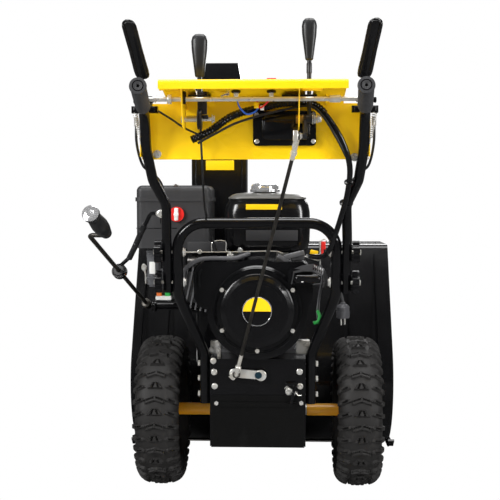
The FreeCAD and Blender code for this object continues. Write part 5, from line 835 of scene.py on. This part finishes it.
made("panel_hooks", [block((3, 30, 30), (148, -440, 946), 1), block((40, 3, 10), (-172, -500, 958), 1.2),
                     block((40, 3, 10), (118, -500, 956), 1.2)], "machine", yellow_gloss, "yellow_paint")
moulded("lever_slot_edge", [block((72, 44, 3), (92, -462, 945), 1.2),
                            block((46, 44, 3), (-112, -462, 945), 1.2)])
plated("lever_return", [coil((-142, -456, 900), (-116, -456, 900), 5.6, 1.3, 7),
                        swept([(-147, -456, 900), (-84, -456, 900)], 1.2, 8),
                        *hexagon((-145, -456, 900), (-1, 0, 0), 12, 6),
                        *hexagon((-88, -456, 900), SIDEWAYS, 12, 6)])
brass = finish_of("brass_bush", METAL, (0.62, 0.42, 0.12), (0.4, 0.26, 0.08), 0.4, (0.3, 0.45), 1, 0.15,
                  metallic=1)
made("pivot_bush", [sleeve(PIVOT_BORE, 9, 19, (85, PIVOT_Y, PIVOT_Z))], "gear_lever", brass, "zinc_steel")
washers = [sleeve(PIVOT_BORE, 11 - n, 1.8, (118.5 + 3.2 * n, PIVOT_Y, PIVOT_Z)) for n in range(3)]
plated("pivot_washers", washers + hexagon((129, PIVOT_Y, PIVOT_Z), SIDEWAYS, 12, 8))
plated("link_fork", [block((11, 12, 22), (84, -507, 861), 2),
                     swept([(84, -507, 852), (80, -502, 838)], 3.8, 12),
                     *hexagon((92.5, -504, 861), SIDEWAYS, 10)], "gear_rod")
cap_line = [(9, 0), (9.5, 1), (9.5, 7), (8, 8.5)]
plug_line = [(4.6, 0), (4.6, 7), (3, 8), (3, 13), (2, 14)]
for name, x in (("left", -37), ("right", 35)):
    moulded(f"switch_cap_{name}", [turned(cap_line, (x, SWITCH_Y, 958), (0, 0, -1), 28)])
    moulded(f"switch_plug_{name}", [turned(plug_line, (x, SWITCH_Y, 949.5), (0, 0, -1), 20)], white)
made("switch_wing", [block((18, 10, 5), (-60, SWITCH_Y, 947), 2, spun((0, 1, 0), -24)),
                     block((7, 8, 12), (-54, SWITCH_Y, 950), 2)], "machine", chrome, "chrome_plate")
moulded("rocker_switch", [block((19, 15, 6), (36, -546, 967.5), 2)], bright_red)
blue = finish_of("blue_wire", GRAIN, (0.01, 0.09, 0.5), (0.1, 0.2, 0.5), 0.2, (0.3, 0.45))
made("blue_lead", [swept([(-35, -470, 936), (-30, -468, 922), (-16, -464, 909), (0, -460, 913),
                          (7, -458, 921)], 1.8, 10)], "machine", blue, "cable_plastic")
made("red_lead", [swept([(30, -470, 936), (22, -466, 928), (12, -460, 922), (8, -456, 930),
                         (4, -452, 938)], 1.8, 10)], "machine", bright_red, "cable_plastic")
made("lead_connector", [block((10, 8, 12), (4, -457, 927), 1.5)], "machine", yellow_gloss, "cable_plastic")
made("lead_sleeve", [block((8, 7, 10), (16, -457, 922), 1.5)], "machine", white, "cable_plastic")

# ---------------------------------------------------------------- headlight back
# The lamp's moulded back: a raised inner box in a flat frame, held by four plated screws.
dress(moulding, "headlight")
upright = spun((1, 0, 0), 90)
made("lamp_frame", [block((100, 52, 5), (65, -440, 883), 2, upright, 13),
                    block((92, 44, 3), (65, -443, 883), 1.2, upright, 10)], "machine", black_gloss,
     "black_plastic")
plated("lamp_screws", [turned([(5, 0), (5, 1.5), (3, 2.6)], (x, -429, z), BACKWARD, 20)
                       for x, z in ((4, 855), (122, 855), (122, 910), (4, 910))])

# ---------------------------------------------------------------- levers' knobs
# Faceted moulded knobs, flat on both sides: the speed lever's on a thin stem that rises through
# the deck, the deflector lever's on a flat arm with a grooved drum at its pivot.
knob_black = finish_of("knob_black", GRAIN, (0.012, 0.012, 0.013), (0.05, 0.05, 0.05), 0.3, (0.3, 0.45), 1,
                       0.2)
GEAR_X, HOOD_X = 112, -112
gear_knob = [(1017, 6, 7), (1019, 8, 9), (1045, 11.5, 11), (1070, 14.8, 12.5), (1086, 15.5, 12.8),
             (1095, 13.5, 11.5), (1100, 9, 8), (1101.5, 3, 3)]
hood_knob = [(984, 8, 8), (986, 9.5, 9.5), (1012, 12.8, 11), (1038, 16, 13), (1056, 16.8, 13.2),
             (1065, 14.5, 11.5), (1069.5, 9.5, 8), (1070.8, 3, 3)]
gear_stem = [(4.5, 898), (4.5, 990), (5.6, 991), (5.6, 1010), (4.5, 1012), (4.5, 1019)]
drum = [(4.2, 0), (20, 0), (21, 1), (21, 2.5), (19, 3.5), (19, 5.5), (21, 6.5), (21, 8), (20, 9), (4.2, 9)]
made("gear_lever_form", [rounded_rows(gear_knob, (GEAR_X, PIVOT_Y, 0), 2.9, 40),
                         turned(gear_stem, (GEAR_X, PIVOT_Y, 0), UPWARD, 20),
                         sleeve(PIVOT_BORE, 9, 24, (100, PIVOT_Y, PIVOT_Z)),
                         swept([(103, PIVOT_Y, PIVOT_Z), (103, -504, 861)], 4.5, 14),
                         turned([(7, 0), (7, 8)], (99, -504, 861), SIDEWAYS, 24),
                         turned([(3, 0), (3, 18)], (83, -504, 861), SIDEWAYS, 16)],
     "gear_lever", knob_black, "black_plastic", "speed_lever")
made("hood_lever_form", [rounded_rows(hood_knob, (HOOD_X, PIVOT_Y, 0), 2.9, 40),
                         block((9, 14, 96), (HOOD_X, PIVOT_Y, 944), 2),
                         turned(drum, (HOOD_X - 4.5, PIVOT_Y, PIVOT_Z), SIDEWAYS, 48),
                         block((15, 3, 46), (-104, -476, 930), 1), block((12, 8, 9), (-100, -474, 902), 2)],
     "hood_lever", knob_black, "black_plastic", "deflector_lever")

# ---------------------------------------------------------------- conduit, cables and shift rod
# The lamp's ribbed conduit loops under the deck and down the right tube; thin jacketed
# cables run from each clutch bracket and from the deflector lever, with bright end ferrules.
dark_rod = finish_of("blackened_rod", METAL, (0.045, 0.043, 0.040), (0.10, 0.09, 0.075), 0.6, (0.3, 0.45),
                     1, 0.2, metallic=0.8)
dress(dark_rod, "shift_rod", "crank_rod")
CONDUIT_RADIUS, RIBBED_LENGTH, RIB_PITCH = 8.5, 300, 6.5
CONDUIT = [(-131, -440, 858), (-92, -445, 876), (-46, -450, 906), (8, -446, 922), (66, -446, 933),
           (120, -444, 930), (152, -443, 902), (184, -440, 850), (199, -424, 800), (197, -380, 745),
           (186, -334, 692), (174, -312, 650), (164, -302, 622), (150, -262, 604), (124, -200, 600)]
SECOND = [(-118, -452, 850), (-84, -455, 868), (-40, -458, 890), (10, -457, 906), (60, -456, 918),
          (112, -454, 926), (140, -452, 906), (170, -446, 860), (196, -432, 812)]
CLUTCH = [(247, -446, 905), (247, -440, 850), (240, -402, 806), (222, -376, 790), (206, -340, 760),
          (206, -292, 690), (194, -246, 600), (180, -232, 520), (150, -190, 440), (138, -146, 385),
          (118, -112, 340), (117.8, -104, 300)]
HOOD_RUN = [(-112, -445.2, 916), (-112, -445.2, 866), (-110, -428, 790), (-114, -350, 735),
            (-116, -270, 700), (-108, -196, 646), (-94, -160, 600), (-84, -120, 591)]
SHORT_RUN = [(-212, -444, 924), (-176, -446, 902), (-146, -448, 882), (-112, -450, 866)]


def conduit_swell(run):
    """Share of the conduit's radius: ribs as the root of a cosine's size, then smooth."""
    return 0.76 + 0.24 * np.abs(np.cos(np.pi * run / RIB_PITCH)) ** 0.5 if run < RIBBED_LENGTH else 0.72


def cable(name, points, radius, *stands_for):
    """A thin cable in a black jacket."""
    made(name, [swept(points, radius, 10)], "machine", flex_black, "cable_plastic", *stands_for)


made("lamp_conduit", [swept(CONDUIT, CONDUIT_RADIUS, 14, 36, conduit_swell)], "machine", moulding,
     "cable_plastic", "control_cables")
cable("second_cable", SECOND, 2.6)
for hand, side in SIDES:
    run = np.array(CLUTCH) * (side, 1, 1)
    cable(f"clutch_cable_{hand}", run, 2.8, "control_cables")
    plated(f"cable_ferrules_{hand}", [turned([(3, 0), (4.4, 1), (4.4, 18), (3, 20)], run[n], ahead, 16)
                                      for n, ahead in ((0, run[1] - run[0]), (-1, run[-2] - run[-1]))])
cable("hood_cable", HOOD_RUN, 2.4, "control_cables")
cable("short_cable", SHORT_RUN, 2.2)
made("conduit_ties", [turned([(9.5, 0), (10.4, 0.5), (10.4, 3.5), (9.5, 4)], (199, -402, 772),
                             (0.1, 0.6, -0.8), 20),
                      turned([(14, 0), (15, 0.5), (15, 3.5), (14, 4)], (198, -342, 728), (0, 0.5, -0.8), 24)],
     "machine", moulding, "cable_plastic")
ROD_LOW, ROD_HIGH = np.array([-50, -208, 320]), np.array([89, -504, 861])
ahead = (ROD_HIGH - ROD_LOW) / np.linalg.norm(ROD_HIGH - ROD_LOW)
plated("shift_rod_ends", [swept([ROD_LOW + ahead * run for run in (8, 34, 60)], 4.3, 14),
                          turned([(5, 0), (7, 1), (7, 17), (5, 19)], ROD_LOW + ahead * 7, ahead, 20),
                          swept([ROD_HIGH - ahead * run for run in (7, 30, 54)], 5.2, 14),
                          turned([(5.2, 0), (7, 1), (7, 9), (5.2, 10)], ROD_HIGH - ahead * 44, ahead, 6)],
       "gear_rod")

# ---------------------------------------------------------------- chute and deflector
# The tall pressed channel in gloss black with raised edges, rivets and a bare yellow plate,
# and the hood with its hinge bolts and folded edges.
CHUTE_X = -113
dress(black_gloss, "chute", "deflector", "chute_worm")
for side in (-1, 1):
    edge = CHUTE_X + side * 62
    made("chute_bead", [swept([(edge, 119.5, z) for z in (520, 700, 860)], 3.4, 12, 2, flat=0.5)], "spout",
         black_gloss, "black_paint")
    plated("hinge_bolt", hexagon((CHUTE_X + side * 78.5, 136, 876), (side, 0, 0), 12), "hood")
    fold = [(CHUTE_X + side * 70, 116.5, 862), (CHUTE_X + side * 70, 116.5, 930),
            (CHUTE_X + side * 66, 119, 970)]
    made("hood_fold", [swept(fold, 2.6, 10, 3, flat=0.6)], "hood", black_gloss, "black_paint")
made("chute_plate", [block((76, 1.4, 26), (-110, 119, 826), 0.6)], "spout", yellow_gloss, "yellow_paint")
plated("chute_rivets", [turned([(5, 0), (4.6, 1.4), (2.4, 2.6)], (CHUTE_X + shift, 120, z), BACKWARD, 16)
                        for shift, z in ((-55, 846), (55, 846), (-55, 560), (55, 560))], "spout")

# ---------------------------------------------------------------- chute crank
# A blackened crank with a swelling grip and a bright end cap, a rubber grommet where the
# support arm holds it, a corrugated sleeve on that arm, and the universal joint by the chute.
dress(knob_black, "crank_grip")
crank_way = np.array([-58, -479.7, 207.7]) / np.linalg.norm([-58, -479.7, 207.7])
ELBOW, EYE, JOINT = np.array([-316, -406, 657]), (-331.3, -179.3, 561.5), np.array([-300, 79.7, 449.3])
GRIP_GAP, GRIP_LENGTH, SLEEVE_PITCH = 10.5, 112, 4.2
end_cap = [(9, -1), (17.4, -0.5), (17.8, 1.2), (15, 2.4), (9, 2.8), (8.2, 1.8), (2, 1.6)]
made("grip_cap", [turned(end_cap, ELBOW + crank_way * (GRIP_GAP + GRIP_LENGTH), crank_way, 32)],
     "crank_handle", chrome, "chrome_plate")
made("rod_grommet", [turned([(5.4, side * 9), (12, side * 9), (13, side * 7.5), (13, side * 6.2)], EYE,
                            crank_way, 28) for side in (-1, 1)], "machine", flex_black, "soft_rubber")


def sleeve_swell(run):
    """Share of the sleeve's radius: its corrugations follow a cosine's size."""
    return 0.82 + 0.18 * np.abs(np.cos(np.pi * run / SLEEVE_PITCH)) ** 0.6


made("arm_sleeve", [swept([(-307, -182, 594), (-290, -205, 622), (-276, -224, 648), (-260, -246, 676)],
                          7.2, 14, 20, sleeve_swell)], "machine", knob_black, "soft_rubber")
plated("arm_bolt", [*hexagon((-212, -322, 702), BACKWARD, 12, 5),
                    turned([(6.2, 0), (7.2, 2), (7.2, 8), (6, 10)], (-222, -300, 702), (1, -1.2, 0), 20)])
made("crank_joint", [turned([(10, 0), (12, 1), (12, 17), (10, 18)], JOINT + crank_way * 12, crank_way, 24)],
     "crank", dark_rod, "plain_steel")
boss = [(9.5, 0), (14, 0.5), (15.5, 3), (15.5, 8), (13, 11), (9.5, 12)]
made("joint_boss", [turned(boss, JOINT + (12, 0, 0), SIDEWAYS, 32)], "machine", moulding, "black_paint")
